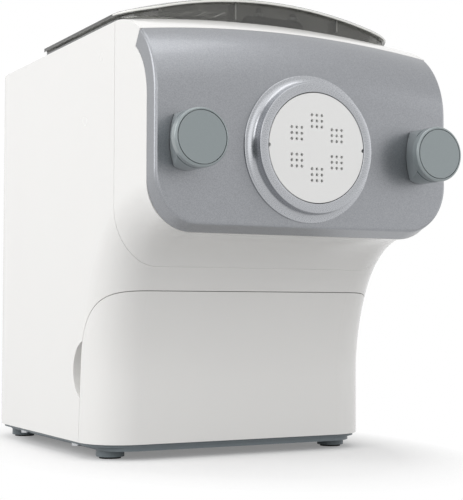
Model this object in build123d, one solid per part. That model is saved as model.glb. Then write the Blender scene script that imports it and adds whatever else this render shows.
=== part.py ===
from build123d import *
import math
import os

# Electric pasta maker, in millimetres.  X runs across the machine, the front looks
# along -Y, Z is up.  The origin is on the floor, in the middle of the overall box.

# ---------------------------------------------------------------- overall sizes
width = 215.0
depth = 343.0
height = 309.3
foot_height = 10.5
side_height = 273.7

# ---------------------------------------------------------------- body form
wall = 3.0
knob_length = 21.8
panel_depth = 12.0
overhang = 87.7
overhang_height = 136.5
sweep_low_r = 130.0
sweep_turn = 26.0
sweep_flat = 3.0
front_edge_r = 30.0
rear_corner_r = 44.0
rear_top_r = 12.0
crown_r = 820.0
roll_r = 51.1
roll_turn = 56.2
roll_start = 219.5
lip_reach = 39.2
seam_gap = 0.4
seat_gap = 0.2
move_gap = 0.4
run_gap = 0.05

# ---------------------------------------------------------------- seams and drawer
frame_seam = 50.0
rear_cover_depth = 36.5
drawer_height = 101.9
drawer_top_back = 25.7
drawer_foot_back = 33.6
drawer_corner_r = 48.0
drawer_back_gap = 2.4
drawer_wall = 2.2
drawer_side_room = 2.5
drawer_ribs = 3
drawer_rib = 14.0
grip_r = 20.0
grip_depth = 8.0
grip_back = 23.1
grip_height = 48.2

# ---------------------------------------------------------------- base and feet
base_depth = 4.7
base_lip = 1.8
base_inset = 2.6
base_step = 7.4
base_ledge = 0.6
foot_r = 9.6
foot_set_in = 20.0
foot_front = 25.3
foot_rear = 34.5
pad_r = 7.4
pad_height = 2.6
screw_r = 1.8
screw_head_r = 3.4
screw_head = 2.0
screw_length = 12.0
boss_r = 4.4
boss_height = 14.0
boss_sink = 1.0
base_screw_front = 52.0
base_screw_rear = 40.0
cover_screw_x = 44.0
cover_screw_low = 13.5
cover_screw_high = 16.2
cover_boss = 9.5
cover_boss_r = 6.0
post_r = 3.2
vent_pitch = 9.0
vent_width = 3.4
vent_half = 34.0
vent_rows = 7
gland_x = -22.0
gland_z = 30.0
gland_r = 6.0
gland_bore_r = 3.7
gland_lip = 2.0

# ---------------------------------------------------------------- die, ring and front panel
axis_height = 190.9
panel_wall = 2.5
panel_bevel = 2.0
panel_chin = 4.7
panel_stud_hole = 5.2
ring_stand = 10.1
ring_r = 41.2
ring_edge = 0.8
ring_bore_r = 35.2
flare_r = 4.6
flare_rim = 1.2
flare_height = 0.9
ring_neck = 2.2
disc_r = 34.7
disc_plate = 4.5
disc_length = 12.0
disc_rim = 3.4
disc_set_back = 0.3
hole_r = 1.0
hole_pitch = 3.65
hole_rows = 3
hole_groups = 6
hole_group_r = 17.0
notch_r = 1.3
disc_pull = 12.0
panel_pull = 40.0

# ---------------------------------------------------------------- knobs
knob_set_in = 20.9
knob_r = 18.0
knob_head = 6.6
knob_neck = 11.3
knob_neck_r = 46.0
knob_neck_draft = 14.0
knob_edge_r = 1.6
cap_r = 15.9
cap_depth = 1.6
cap_groove = 0.5
insert_r = 7.0
insert_length = 14.0
insert_set_back = 2.4
stud_r = 4.0
stud_set_back = 1.0
stud_collar_r = 8.5
stud_collar = 5.0
washer_r = 9.0
washer_depth = 1.4

# ---------------------------------------------------------------- chamber, tube and lid
chamber_wall = 2.5
chamber_r = 64.0
chamber_front = 7.5
flange_set_in = 3.5
flange_depth = 3.3
flange_front = 1.6
flange_back_lap = 5.4
flange_corner_r = 14.0
flange_ledge = 12.0
flange_lap = 8.0
cradle_half = 52.0
cradle_inset = 20.0
bulkhead_gap = 2.0
bulkhead_depth = 4.0
tube_r = 26.0
tube_wall = 3.0
tube_flange = 6.0
spigot_r = 30.9
spigot_length = 6.0
seal_width = 2.6
seal_lip = 1.2
lid_wall = 2.2
lid_lip = 2.0
lid_edge = 3.9
lid_front_lap = 14.3
lid_back_lap = 5.7
lid_droop = 3.5
lid_droop_length = 27.0
lid_corner_r = 25.0
lid_back_r = 6.0
lid_clear = 0.4
slot_x = -23.0
slot_back = 46.0
slot_width = 6.0
slot_length = 26.0
slot_count = 3
slot_pitch = 14.0
lid_grip_x = 11.2
lid_grip_half = 24.6
lid_grip_height = 11.6
lid_grip_front = 3.7
lid_grip_wall = 3.0
lid_grip_depth = 14.0
lid_post_r = 2.4
lid_post_left = 7.4
lid_post_right = 19.4
hinge_set_in = 22.0
hinge_rise = 8.6
hinge_r = 4.2
hinge_pin_r = 2.0
hinge_ear = 6.0
hinge_arm = 3.3
hinge_back = 4.5

# ---------------------------------------------------------------- paddle and drive
paddle_r = 57.0
paddle_hub_r = 11.0
paddle_bar = 8.0
paddle_arms = 4
paddle_foot = 0.55
hex_r = 6.2
hex_length = 14.0
auger_r = 24.8
auger_core_r = 9.0
auger_flight = 5.0
auger_turns = 1.5
auger_set_back = 1.0
auger_lead = 4.0
drive_shaft_r = 7.0
module_out = 2.5
module_in = 2.0
pinion_teeth = 12
wheel_out_teeth = 48
wheel_in_teeth = 42
pressure_angle = 25.0
addendum = 0.8
dedendum = 1.0
tooth_play = 0.4
gear_face = 9.0
gear_step = 1.5
gear_room = 1.5
gear_hub = 0.8
lug_turn = 38.0
low_lug_turn = 20.0
case_wall = 3.0
case_clear = 2.6
idler_shaft_r = 4.0
rotor_shaft_r = 3.0
motor_r = 44.0
motor_length = 52.0
motor_wall = 2.0
motor_end = 5.0
motor_pilot_r = 8.0
rotor_core_r = 27.0
bracket_depth = 12.0
bracket_half = 30.0
fan_gap = 4.0
rear_room = 23.8
fan_hub_r = 9.0
fan_wall = 1.6
fan_blade_turn = 35.0
fan_r = 38.0
fan_depth = 9.0
fan_blades = 9
bush_wall = 3.0

# ---------------------------------------------------------------- controls
control_gap = 11.8
control_z = 228.0
control_length = 92.0
control_width = 34.0
bezel_depth = 2.0
bezel_lip = 3.0
button_r = 6.5
button_pitch = 17.0
button_count = 4
button_margin = 12.0
button_travel = 1.2
button_recess = 0.2
button_gap = 0.3
button_collar = 1.4
button_stem = 3.4
board_wall = 1.6
board_gap = 9.5
dome_r = 2.2
dome_gap = 0.3
chip_half = 7.0
window_length = 16.0
window_width = 18.0
window_depth = 1.2
board_stand = 8.0
post_margin = 6.0
power_gap = 8.2
power_length = 58.0
power_z = 150.0
power_width = 90.0
power_part = 14.0
switch_x = 20.0
switch_length = 24.0
switch_depth = 12.0
switch_height = 9.0

# ---------------------------------------------------------------- worked-out places
knob_face_y = -depth / 2
rear_y = depth / 2
half = width / 2
panel_face_y = knob_face_y + knob_length
panel_back_y = panel_face_y + panel_depth
lower_front_y = panel_face_y + overhang
base_z = foot_height
top_z = foot_height + side_height
head_z = foot_height + overhang_height
axis_z = foot_height + axis_height
crown_rise = crown_r - math.sqrt(crown_r ** 2 - half ** 2)
crown_z = top_z + crown_rise
seam_y = panel_back_y + frame_seam
rear_seam_y = rear_y - rear_cover_depth
roll_c = (panel_face_y + roll_r, foot_height + roll_start + crown_rise)
panel_turn = roll_turn - math.degrees(seam_gap / roll_r)
turn = math.radians(sweep_turn)
sweep_reach = overhang - panel_depth
sweep_top_r = (sweep_reach - sweep_flat - sweep_low_r * (1 - math.cos(turn))) / math.cos(turn)
sweep_start_z = head_z - sweep_top_r * (1 - math.sin(turn)) - sweep_low_r * math.sin(turn)
ring_face_y = panel_face_y - ring_stand
disc_front_y = ring_face_y + disc_set_back
disc_back_y = disc_front_y + disc_length
seat_z = top_z
fan_y = rear_y - rear_room - fan_depth
motor_y = fan_y - fan_gap - motor_length
cover_back_y = motor_y - seat_gap
cover_y = cover_back_y - case_wall
gear_y = cover_y - gear_room - gear_step - 2 * gear_face
case_y = gear_y - gear_room - case_wall
bulkhead_y = case_y - seat_gap - bulkhead_depth
flange_half = half - flange_set_in
flange_top_z = seat_z + flange_depth
flange_front_y = seam_y + flange_front
chamber_top_half = flange_half - flange_ledge
chamber_front_y = seam_y + chamber_front
chamber_back_y = bulkhead_y - bulkhead_gap
flange_back_y = chamber_back_y + flange_back_lap
lid_bottom_z = flange_top_z + lid_clear
lid_rise = height - lid_bottom_z - lid_edge
lid_arch_r = (flange_half ** 2 + lid_rise ** 2) / (2 * lid_rise)
lid_front_y = seam_y - lid_front_lap
lid_back_y = flange_back_y + lid_back_lap
droop_r = (lid_droop_length ** 2 + lid_droop ** 2) / (2 * lid_droop)
hinge_x = flange_half - hinge_set_in
hinge_y = lid_back_y + hinge_back
hinge_z = seat_z + hinge_rise
seat_back_y = hinge_y + hinge_r + hinge_ear
drawer_top_z = base_z + drawer_height
bay_z = drawer_top_z + move_gap
inner_half = half - wall
base_front_y = lower_front_y + base_inset
base_top_z = base_z - seat_gap
base_under_z = base_z - base_depth
base_lip_z = base_top_z - base_lip
knob_x = half - knob_set_in
foot_x = half - foot_set_in
front_foot_y = lower_front_y + foot_front
rear_foot_y = rear_y - foot_rear
foot_points = [(side * foot_x, y) for side in (-1, 1) for y in (front_foot_y, rear_foot_y)]
far = max(width, depth, height)
drawer_half = half - grip_depth - wall - drawer_side_room
pressure = math.radians(pressure_angle)
idler_z = axis_z - module_out * (pinion_teeth + wheel_out_teeth) / 2
motor_z = idler_z - module_in * (pinion_teeth + wheel_in_teeth) / 2
out_tip_r = module_out * (wheel_out_teeth / 2 + addendum)
in_tip_r = module_in * (wheel_in_teeth / 2 + addendum)
pinion_tip_r = module_in * (pinion_teeth / 2 + addendum)
bush_r = drive_shaft_r + bush_wall
tube_flange_r = tube_r + tube_wall + tube_flange
seal_r = drive_shaft_r + seal_width
auger_front_y = disc_back_y - spigot_length + auger_set_back
auger_back_y = chamber_front_y + chamber_wall + auger_lead
knob_back_y = panel_face_y - move_gap
insert_y = knob_face_y + cap_depth + insert_set_back
stud_front_y = insert_y + stud_set_back
power_board_x = -inner_half + board_stand
power_y = bulkhead_y + bulkhead_depth + power_gap
control_y = bulkhead_y - control_gap - control_length / 2
control_board_x = inner_half - board_gap
dome_x = inner_half - seat_gap - bezel_depth - move_gap - button_stem - button_travel - dome_gap
button_first = control_y - control_length / 2 + button_margin
button_places = [button_first + i * button_pitch for i in range(button_count)]
window_y = control_y + control_length / 2 - button_margin
board_post_points = [(control_y + a * (control_length / 2 - post_r - wall), control_z + b * (control_width / 2 - post_r))
                     for a in (-1, 1) for b in (-1, 1)]
power_board_screws = [(y, z) for y in (power_y + post_margin, power_y + power_length - post_margin)
                      for z in (power_z + post_margin, power_z + power_width - post_margin)]
post_end_y = rear_y - cover_boss
cover_screw_points = [(side * cover_screw_x, z) for side in (-1, 1)
                      for z in (base_z + cover_screw_low, top_z - cover_screw_high)]
lug_r = out_tip_r + case_clear + case_wall
lug_angle = math.radians(lug_turn)
low_lug_r = in_tip_r + case_clear + case_wall
low_lug_angle = math.radians(low_lug_turn)
gear_screw_points = [(side * lug_r * math.cos(lug_angle), axis_z + lug_r * math.sin(lug_angle)) for side in (-1, 1)]
gear_screw_points += [(side * low_lug_r * math.cos(low_lug_angle), idler_z - low_lug_r * math.sin(low_lug_angle))
                      for side in (-1, 1)]
hollow_turn = panel_turn - math.degrees(panel_wall / (roll_r - panel_depth))
base_screw_points = [(side * (inner_half - boss_r + boss_sink), y) for side in (-1, 1)
                     for y in (lower_front_y + base_screw_front, rear_seam_y - base_screw_rear)]


# ---------------------------------------------------------------- helpers
def save(node, shape):
    """Write one node's STEP file."""
    export_step(shape, "parts/" + node + ".step")


def block(x0, x1, y0, y1, z0, z1):
    """A box between two corners."""
    centre = Pos((x0 + x1) / 2, (y0 + y1) / 2, (z0 + z1) / 2)
    return centre * Box(x1 - x0, y1 - y0, z1 - z0)


def cyl_y(x, z, r, y0, y1):
    """A cylinder along Y, from y0 back to y1."""
    return Pos(x, (y0 + y1) / 2, z) * Rot(90, 0, 0) * Cylinder(r, y1 - y0)


def cyl_z(x, y, r, z0, z1):
    """An upright cylinder."""
    return Pos(x, y, (z0 + z1) / 2) * Cylinder(r, z1 - z0)


def cyl_x(y, z, r, x0, x1):
    """A cylinder along X."""
    return Pos((x0 + x1) / 2, y, z) * Rot(0, 90, 0) * Cylinder(r, x1 - x0)


def ring_y(x, z, outer, inner, y0, y1):
    """A round tube along Y."""
    return cyl_y(x, z, outer, y0, y1) - cyl_y(x, z, inner, y0, y1)


def side_prism(face, x0, x1):
    """A face drawn in (Y, Z), drawn out from x0 to x1."""
    return extrude(Plane.YZ.offset(x0) * face, amount=x1 - x0)


def front_prism(face, y0, y1):
    """A face drawn in (X, Z), drawn out from y0 to y1."""
    plane = Plane(origin=(0, y1, 0), x_dir=(1, 0, 0), z_dir=(0, -1, 0))
    return extrude(plane * face, amount=y1 - y0)


def polygon_face(points):
    """A flat face through points in order."""
    return make_face(Polyline(*points, close=True))


def turned_y(x, z, points):
    """A solid turned about a Y axis at (x, z), from (radius, y) points."""
    placed = [(x + r, y, z) for r, y in points]
    face = make_face(Polyline(*placed, close=True))
    return revolve(face, Axis((x, 0, z), (0, 1, 0)), 360)


# ---------------------------------------------------------------- the body's outer form
def sweep_arcs(inset):
    """The concave front: two arcs that run from the drawer up under the head."""
    low_c = (lower_front_y - sweep_low_r, sweep_start_z)
    step = sweep_low_r - sweep_top_r
    top_c = (low_c[0] + step * math.cos(turn), low_c[1] + step * math.sin(turn))
    low = CenterArc(low_c, sweep_low_r + inset, 0, sweep_turn)
    top = CenterArc(top_c, sweep_top_r + inset, sweep_turn, 90 - sweep_turn)
    return low, top


def side_face(inset, bottom):
    """Side outline of the lower body and the head's underside, open to the front and back."""
    low, top = sweep_arcs(inset)
    foot = (lower_front_y + inset, bottom)
    nose = (-far, (top @ 1).Y)
    edges = [Line(foot, low @ 0), low, top, Line(top @ 1, nose), Line(nose, (-far, far)),
             Line((-far, far), (far, far)), Line((far, far), (far, bottom)),
             Line((far, bottom), foot)]
    return make_face(edges)


def is_front_edge(edge, reach):
    """True for the long side edges of the front and of the head's underside."""
    middle = edge.center()
    on_side = abs(abs(middle.X) - reach) < 0.01
    return on_side and -far < middle.Y < lower_front_y + wall + 1 and middle.Z < top_z


def lower_form(inset, bottom):
    """The body below the crown, with its rounded front edges."""
    reach = half - inset
    solid = side_prism(side_face(inset, bottom), -reach, reach)
    edges = [edge for edge in solid.edges() if is_front_edge(edge, reach)]
    return fillet(edges, front_edge_r - inset)


def plan_form(inset):
    """The plan outline with its large rear corners, as an upright prism."""
    reach = half - inset
    back = rear_y - inset
    sheet = Pos(0, (back - far) / 2) * Rectangle(2 * reach, back + far)
    corners = sheet.vertices().sort_by(Axis.Y)[-2:]
    return extrude(fillet(corners, rear_corner_r - inset), amount=2 * far, both=True)


def arched(face, apex, radius, low_z):
    """A (Y, Z) face turned about a far axis below its apex, full width from low_z up."""
    centre_z = apex - radius
    swing = 2 * math.degrees(math.asin(half / (low_z - centre_z)))
    turned = revolve(Plane.YZ * face, Axis((0, 0, centre_z), (0, 1, 0)), 2 * swing)
    return Pos(0, 0, centre_z) * Rot(0, -swing, 0) * Pos(0, 0, -centre_z) * turned


def crown_form(face):
    """A (Y, Z) face with the crown's arch from side to side."""
    return arched(face, crown_z, crown_r, 0)


def roll_point(radius, degrees):
    """A point on the roll of the head's top front edge."""
    angle = math.radians(degrees)
    return (roll_c[0] - radius * math.cos(angle), roll_c[1] + radius * math.sin(angle))


def roll_arc(radius, end):
    """The roll from upright back over the top, as far as an angle."""
    return ThreePointArc(roll_point(radius, 0), roll_point(radius, end / 2), roll_point(radius, end))


def top_face(inset):
    """Side outline that bounds the body's front and top, at the middle of the crown."""
    inner = roll_r - panel_depth - inset
    roof = crown_z - inset
    lip = roll_point(roll_r, roll_turn)
    tip = (lip[0] + inset * 3, lip[1] - inset)
    flat = (lip[0] + lip_reach, roof)
    drop = roof - tip[1]
    run = flat[0] - tip[0]
    roof_r = (run ** 2 + drop ** 2) / (2 * drop)
    bend = math.asin(run / roof_r) / 2
    middle = (flat[0] - roof_r * math.sin(bend), roof - roof_r * (1 - math.cos(bend)))
    back = rear_y - inset
    ease = rear_top_r - inset
    low = -far
    rolled = roll_arc(inner, roll_turn)
    edges = [Line((panel_back_y + inset, low), rolled @ 0), rolled, Line(rolled @ 1, tip),
             ThreePointArc(tip, middle, flat), Line(flat, (back - ease, roof)),
             RadiusArc((back - ease, roof), (back, roof - ease), ease),
             Line((back, roof - ease), (back, low)), Line((back, low), (panel_back_y + inset, low))]
    return make_face(edges)


def body_form(inset, bottom):
    """The white body as one solid, moved inwards by inset."""
    return lower_form(inset, bottom) & plan_form(inset) & crown_form(top_face(inset))


# ---------------------------------------------------------------- white shells
def body_shell():
    """The white skin of the whole body, open below."""
    return body_form(0, base_z) - body_form(wall, base_z - far)


def drawer_zone(shrink):
    """The side outline of the drawer front, drawn right through the body."""
    top = drawer_top_z - shrink
    knee = (lower_front_y + drawer_top_back - shrink, top)
    heel = (lower_front_y + drawer_foot_back - shrink, base_z - base_depth)
    outline = polygon_face([(-far, heel[1]), heel, knee, (-far, top)])
    corner = outline.vertices().group_by(Axis.Y)[-1].sort_by(Axis.X)[-1]
    return side_prism(fillet(corner, drawer_corner_r), -far, far)


def grip_form(side, grow):
    """The round finger scoop beside the drawer, larger all round by grow."""
    y = lower_front_y + grip_back
    z = base_z + grip_height
    outer = side * (half + 1)
    inner = side * (half - grip_depth - grow)
    return cyl_x(y, z, grip_r + grow, min(outer, inner), max(outer, inner))


def front_frame(shell):
    """The white frame round the head, in front of the frame seam."""
    head = shell & block(-far, far, -far, seam_y - seam_gap / 2, 0, far)
    tube_hole = cyl_y(0, axis_z, tube_r + tube_wall + seat_gap, -far, seam_y)
    stud_holes = [cyl_y(side * knob_x, axis_z, stud_r + seat_gap, -far, seam_y) for side in (-1, 1)]
    back = seam_y - seam_gap / 2
    web = block(-half, half, back - wall, back, seat_z - wall, far) & body_form(0, base_z)
    return head + web - tube_hole - stud_holes


def control_window(grow):
    """The rectangle that the control bezel fills in the side wall."""
    y0 = control_y - control_length / 2 - grow
    y1 = control_y + control_length / 2 + grow
    z0 = control_z - control_width / 2 - grow
    z1 = control_z + control_width / 2 + grow
    return block(inner_half - 1, half + 1, y0, y1, z0, z1)


def board_posts():
    """Posts inside the left wall that carry the power board."""
    return [cyl_x(y, z, post_r, -inner_half - wall / 2, power_board_x) for y, z in power_board_screws]


def rim_shelf():
    """The flat seat round the chamber's opening, with a riser behind the lid."""
    back = seat_back_y + wall
    room = body_form(0, base_z)
    shelf = block(-half, half, seam_y + seam_gap / 2, back, seat_z - wall, seat_z)
    riser = block(-half, half, seat_back_y, back, seat_z - wall, far)
    return (shelf + riser) & room


def base_bosses():
    """Bosses at the foot of the side walls for the base screws."""
    room = body_form(wall / 2, base_z)
    bosses = [cyl_z(x, y, boss_r, base_z, base_z + boss_height) for x, y in base_screw_points]
    return [boss & room for boss in bosses]


def main_housing(shell):
    """The white middle of the body, with the seat for the chamber and the drawer's opening."""
    middle = block(-far, far, seam_y + seam_gap / 2, rear_seam_y - seam_gap / 2, 0, far)
    cups = [grip_form(side, wall) & body_form(0, base_z) & middle for side in (-1, 1)]
    body = (shell & middle) + cups + rim_shelf() + base_bosses()
    body = body - drawer_zone(0)
    body = body - [grip_form(side, 0) for side in (-1, 1)]
    opening = flange_half - flange_lap
    body = body - block(-opening, opening, chamber_front_y - seat_gap, chamber_back_y + seat_gap, axis_z, far)
    reach = flange_half + seat_gap
    body = body - block(-reach, reach, -far, seat_back_y, seat_z, far)
    body = body - control_window(0)
    body = body - [cyl_z(x, y, screw_r + run_gap, 0, base_z + screw_length) for x, y in base_screw_points]
    return body + [hinge_post(side) for side in (-1, 1)] + board_posts()


def hinge_post(side):
    """An ear that stands on the housing and carries one hinge pin of the lid."""
    x0 = side * hinge_x
    x1 = side * (hinge_x + hinge_ear)
    low, high = min(x0, x1), max(x0, x1)
    ear = cyl_x(hinge_y, hinge_z, hinge_r, low, high)
    foot = block(low, high, hinge_y - hinge_r, hinge_y + hinge_r, seat_z - wall, hinge_z)
    return ear + foot - cyl_x(hinge_y, hinge_z, hinge_pin_r, low - 1, high + 1)


def vent_slots():
    """Rows of slots through the rear cover, level with the fan."""
    slots = []
    for row in range(vent_rows):
        z = motor_z + (row - (vent_rows - 1) / 2) * vent_pitch
        slots.append(block(-vent_half, vent_half, rear_y - wall * 2, far, z - vent_width / 2, z + vent_width / 2))
    return slots


def rear_cover(shell):
    """The white cover over the motor, with vents, screw bosses and the gland's hole."""
    skin = shell & block(-far, far, rear_seam_y + seam_gap / 2, far, 0, far)
    room = body_form(wall / 2, 0)
    bosses = [cyl_y(x, z, cover_boss_r, post_end_y + seat_gap, rear_y) & room for x, z in cover_screw_points]
    sinks = [cyl_y(x, z, screw_head_r + seat_gap, rear_y - wall, far) for x, z in cover_screw_points]
    bores = [cyl_y(x, z, screw_r + seat_gap, 0, far) for x, z in cover_screw_points]
    gland = cyl_y(gland_x, gland_z, gland_r, rear_y - wall * 2, far)
    return skin + bosses - vent_slots() - sinks - bores - gland


def drawer_front(shell):
    """The white front of the drawer, wrapped round both corners."""
    skin = shell & drawer_zone(move_gap)
    back = lower_front_y + wall
    sheet = block(-drawer_half, drawer_half, back, back + drawer_wall, base_z + move_gap, drawer_top_z - wall)
    return (skin + sheet) & body_form(0, base_z) & drawer_zone(move_gap)


def drawer_tray():
    """The open box behind the drawer front, with ribs that hold the spare discs."""
    y0 = lower_front_y + wall + drawer_wall + seat_gap
    y1 = bulkhead_y - drawer_back_gap
    z0 = base_z + move_gap
    z1 = drawer_top_z - wall
    room = body_form(wall + seat_gap, 0)
    inner_room = body_form(wall + seat_gap + drawer_wall, 0)
    outer = block(-drawer_half, drawer_half, y0, y1, z0, z1) & room
    inner = block(-drawer_half + drawer_wall, drawer_half - drawer_wall, y0 + drawer_wall, y1 - drawer_wall,
                  z0 + drawer_wall, far)
    tray = outer - (inner & inner_room)
    pitch = (y1 - y0) / (drawer_ribs + 1)
    for i in range(drawer_ribs):
        y = y0 + pitch * (i + 1)
        for side in (-1, 1):
            x0 = side * drawer_half
            x1 = side * (drawer_half - drawer_rib)
            tray = tray + block(min(x0, x1), max(x0, x1), y - drawer_wall / 2, y + drawer_wall / 2, z0, z1)
    return tray


# ---------------------------------------------------------------- base, feet and screws
def plan_plate(reach, y0, y1, front_r, back_r, z0, z1):
    """A plate with rounded front and back corners, between two heights."""
    sheet = Pos(0, (y0 + y1) / 2) * Rectangle(2 * reach, y1 - y0)
    sheet = fillet(sheet.vertices().group_by(Axis.Y)[0], front_r)
    sheet = fillet(sheet.vertices().group_by(Axis.Y)[-1], back_r)
    return extrude(Pos(0, 0, z0) * sheet, amount=z1 - z0)


def base_sheet(step, ledge, z0, z1):
    """One layer of the base plate, set in by a step at the sides and a ledge at front and back."""
    inset = base_inset + step
    return plan_plate(half - inset, base_front_y + ledge, rear_y - base_inset - ledge,
                      front_edge_r - inset, rear_corner_r - inset, z0, z1)


def base_plate():
    """The grey floor of the machine: a thin sheet under the skin and a narrower slab."""
    sheet = base_sheet(0, 0, base_lip_z, base_top_z)
    plate = sheet + base_sheet(base_step, base_ledge, base_under_z, base_lip_z)
    holes = [cyl_z(x, y, screw_r + seat_gap, 0, base_z) for x, y in foot_points + base_screw_points]
    return plate - holes


def feet():
    """Four grey feet under the base plate."""
    ends = []
    for x, y in foot_points:
        foot = cyl_z(x, y, foot_r, pad_height / 2, base_under_z)
        pocket = cyl_z(x, y, pad_r + seat_gap, 0, pad_height + seat_gap)
        sink = cyl_z(x, y, screw_head_r + seat_gap, 0, pad_height + seat_gap + screw_head)
        bore = cyl_z(x, y, screw_r + seat_gap, 0, base_z)
        ends.append(foot - pocket - sink - bore)
    return ends


def foot_pads():
    """Four rubber pads let into the feet."""
    return [cyl_z(x, y, pad_r, 0, pad_height) for x, y in foot_points]


def screw_z(x, y, z, length):
    """A pan-head screw that points up from z."""
    return cyl_z(x, y, screw_head_r, z - screw_head, z) + cyl_z(x, y, screw_r, z, z + length)


def screw_y(x, z, y, length):
    """A pan-head screw that points forward from y."""
    return cyl_y(x, z, screw_head_r, y, y + screw_head) + cyl_y(x, z, screw_r, y - length, y)


# ---------------------------------------------------------------- chassis
def chassis():
    """The inner frame: bulkhead, roof of the drawer bay, chamber cradle and cover posts."""
    room = body_form(wall + seat_gap, base_top_z + seat_gap)
    top = seat_z - wall - seat_gap
    bulkhead = block(-half, half, bulkhead_y, bulkhead_y + bulkhead_depth, 0, top)
    roof = block(-half, half, lower_front_y - overhang, bulkhead_y + wall / 2, bay_z, bay_z + wall)
    frame = bulkhead + roof
    for y in (chamber_front_y + cradle_inset, chamber_back_y - cradle_inset):
        frame = frame + block(-cradle_half, cradle_half, y - wall, y + wall, bay_z, axis_z)
    frame = frame & room
    frame = frame - cyl_y(0, axis_z, chamber_r + chamber_wall + seat_gap, -far, bulkhead_y)
    frame = frame - [cyl_y(0, axis_z, bush_r + run_gap, -far, far)]
    posts = [cyl_y(x, z, post_r, bulkhead_y + bulkhead_depth / 2, post_end_y) for x, z in cover_screw_points]
    bores = [cyl_y(x, z, screw_r + run_gap, post_end_y - screw_length, post_end_y) for x, z in cover_screw_points]
    taps = [cyl_y(x, z, screw_r + run_gap, bulkhead_y - 1, far) for x, z in gear_screw_points]
    return frame + posts - bores - taps


# ---------------------------------------------------------------- mixing chamber and tube
def chamber_face(grow):
    """Cross-section of the tub: round below the axis, flared above it."""
    r = chamber_r + grow
    top = chamber_top_half + grow
    arc = ThreePointArc((-r, axis_z), (0, axis_z - r), (r, axis_z))
    edges = [arc, Line((r, axis_z), (top, seat_z)), Line((top, seat_z), (-top, seat_z)),
             Line((-top, seat_z), (-r, axis_z))]
    return make_face(edges)


def mixing_chamber():
    """The clear tub with its flange, open above and at the tube."""
    tub = front_prism(chamber_face(chamber_wall), chamber_front_y, chamber_back_y)
    tub = tub + plan_plate(flange_half, flange_front_y, flange_back_y, flange_corner_r, lid_back_r,
                           seat_z, flange_top_z)
    hollow = front_prism(chamber_face(0), chamber_front_y + chamber_wall, chamber_back_y - chamber_wall)
    throat = block(-chamber_top_half, chamber_top_half, chamber_front_y + chamber_wall,
                   chamber_back_y - chamber_wall, seat_z - 1, far)
    mouth = cyl_y(0, axis_z, tube_r, chamber_front_y - 1, chamber_front_y + chamber_wall + 1)
    shaft_hole = cyl_y(0, axis_z, seal_r, chamber_back_y - chamber_wall - 1, chamber_back_y + 1)
    return tub - hollow - throat - mouth - shaft_hole


def extrusion_tube():
    """The tube that leads from the chamber to the shaping disc."""
    back = chamber_front_y - seat_gap
    outer = tube_r + tube_wall
    front = disc_back_y + seat_gap
    tip = disc_back_y - spigot_length
    tube = cyl_y(0, axis_z, outer, front, back)
    tube = tube + cyl_y(0, axis_z, tube_flange_r, back - tube_flange, back)
    tube = tube + cyl_y(0, axis_z, spigot_r, tip, front + tube_flange)
    tube = tube - cyl_y(0, axis_z, tube_r, tip - 1, back + 1)
    return tube - seal_ring(run_gap)


def seal_ring(grow):
    """The soft ring between the tube's flange and the chamber."""
    middle = (tube_r + tube_wall + tube_flange_r) / 2
    y1 = chamber_front_y - seat_gap
    return ring_y(0, axis_z, middle + seal_width / 2 + grow, middle - seal_width / 2 - grow, y1 - seal_width, y1)


def shaft_seal():
    """The lip seal round the drive shaft in the chamber's back wall."""
    y1 = chamber_back_y - chamber_wall
    shaft = drive_shaft_r + run_gap
    seal = ring_y(0, axis_z, seal_r - run_gap, shaft, y1 - seal_lip, chamber_back_y + seat_gap)
    return seal + ring_y(0, axis_z, seal_r + chamber_wall, shaft, y1 - seal_lip, y1 - run_gap)


# ---------------------------------------------------------------- shaping disc, ring and panel
def disc_holes():
    """Round holes for spaghetti, in square groups on a circle."""
    holes = []
    span = (hole_rows - 1) / 2
    for group in range(hole_groups):
        angle = math.radians(90 + group * 360 / hole_groups)
        gx = hole_group_r * math.cos(angle)
        gz = axis_z + hole_group_r * math.sin(angle)
        for row in range(hole_rows):
            for column in range(hole_rows):
                x = gx + (column - span) * hole_pitch
                z = gz + (row - span) * hole_pitch
                holes.append(cyl_y(x, z, hole_r, disc_front_y - 1, disc_front_y + disc_plate + 1))
    return holes


def shaping_disc():
    """The white disc that gives the dough its shape."""
    plate_y = disc_front_y + disc_plate
    rim = disc_r - disc_rim
    profile = [(0, disc_front_y), (disc_r, disc_front_y), (disc_r, disc_back_y), (rim, disc_back_y),
               (rim, plate_y), (0, plate_y)]
    disc = turned_y(0, axis_z, profile) - disc_holes()
    return disc - [cyl_y(side * disc_r, axis_z, notch_r, -far, plate_y) for side in (-1, 1)]


def die_ring():
    """The silver ring that stands out round the disc, with a hollow flare on the panel."""
    neck = ring_bore_r + ring_neck
    spigot_y = panel_face_y + panel_wall
    foot_y = panel_face_y - run_gap
    crest_y = panel_face_y - flare_height
    flare_out = ring_r + flare_r
    bow = flare_r * math.sin(math.radians(45))
    top = (ring_r, crest_y - flare_r)
    low = (flare_out, crest_y)
    hollow = ThreePointArc(top, (flare_out - bow, top[1] + bow), low)
    bore = Polyline((neck, foot_y), (neck, spigot_y), (ring_bore_r, spigot_y), (ring_bore_r, ring_face_y),
                    (ring_r - ring_edge, ring_face_y), (ring_r, ring_face_y + ring_edge), top)
    rim = Polyline(low, (flare_out + flare_rim, crest_y), (flare_out + flare_rim, foot_y), (neck, foot_y))
    face = Pos(0, 0, axis_z) * make_face([bore, hollow, rim])
    return revolve(face, Axis((0, 0, axis_z), (0, 1, 0)), 360)


def panel_slab(inset, back_gap, end):
    """Side outline of the panel: upright below, rolled back at the top."""
    front = roll_arc(roll_r - inset, end)
    back = roll_arc(roll_r - panel_depth + back_gap, end)
    front_foot = ((front @ 0).X, 0)
    back_foot = ((back @ 0).X, 0)
    edges = [Line(front_foot, front @ 0), front, Line(front @ 1, back @ 1), back,
             Line(back @ 0, back_foot), Line(back_foot, front_foot)]
    return make_face(edges)


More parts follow.
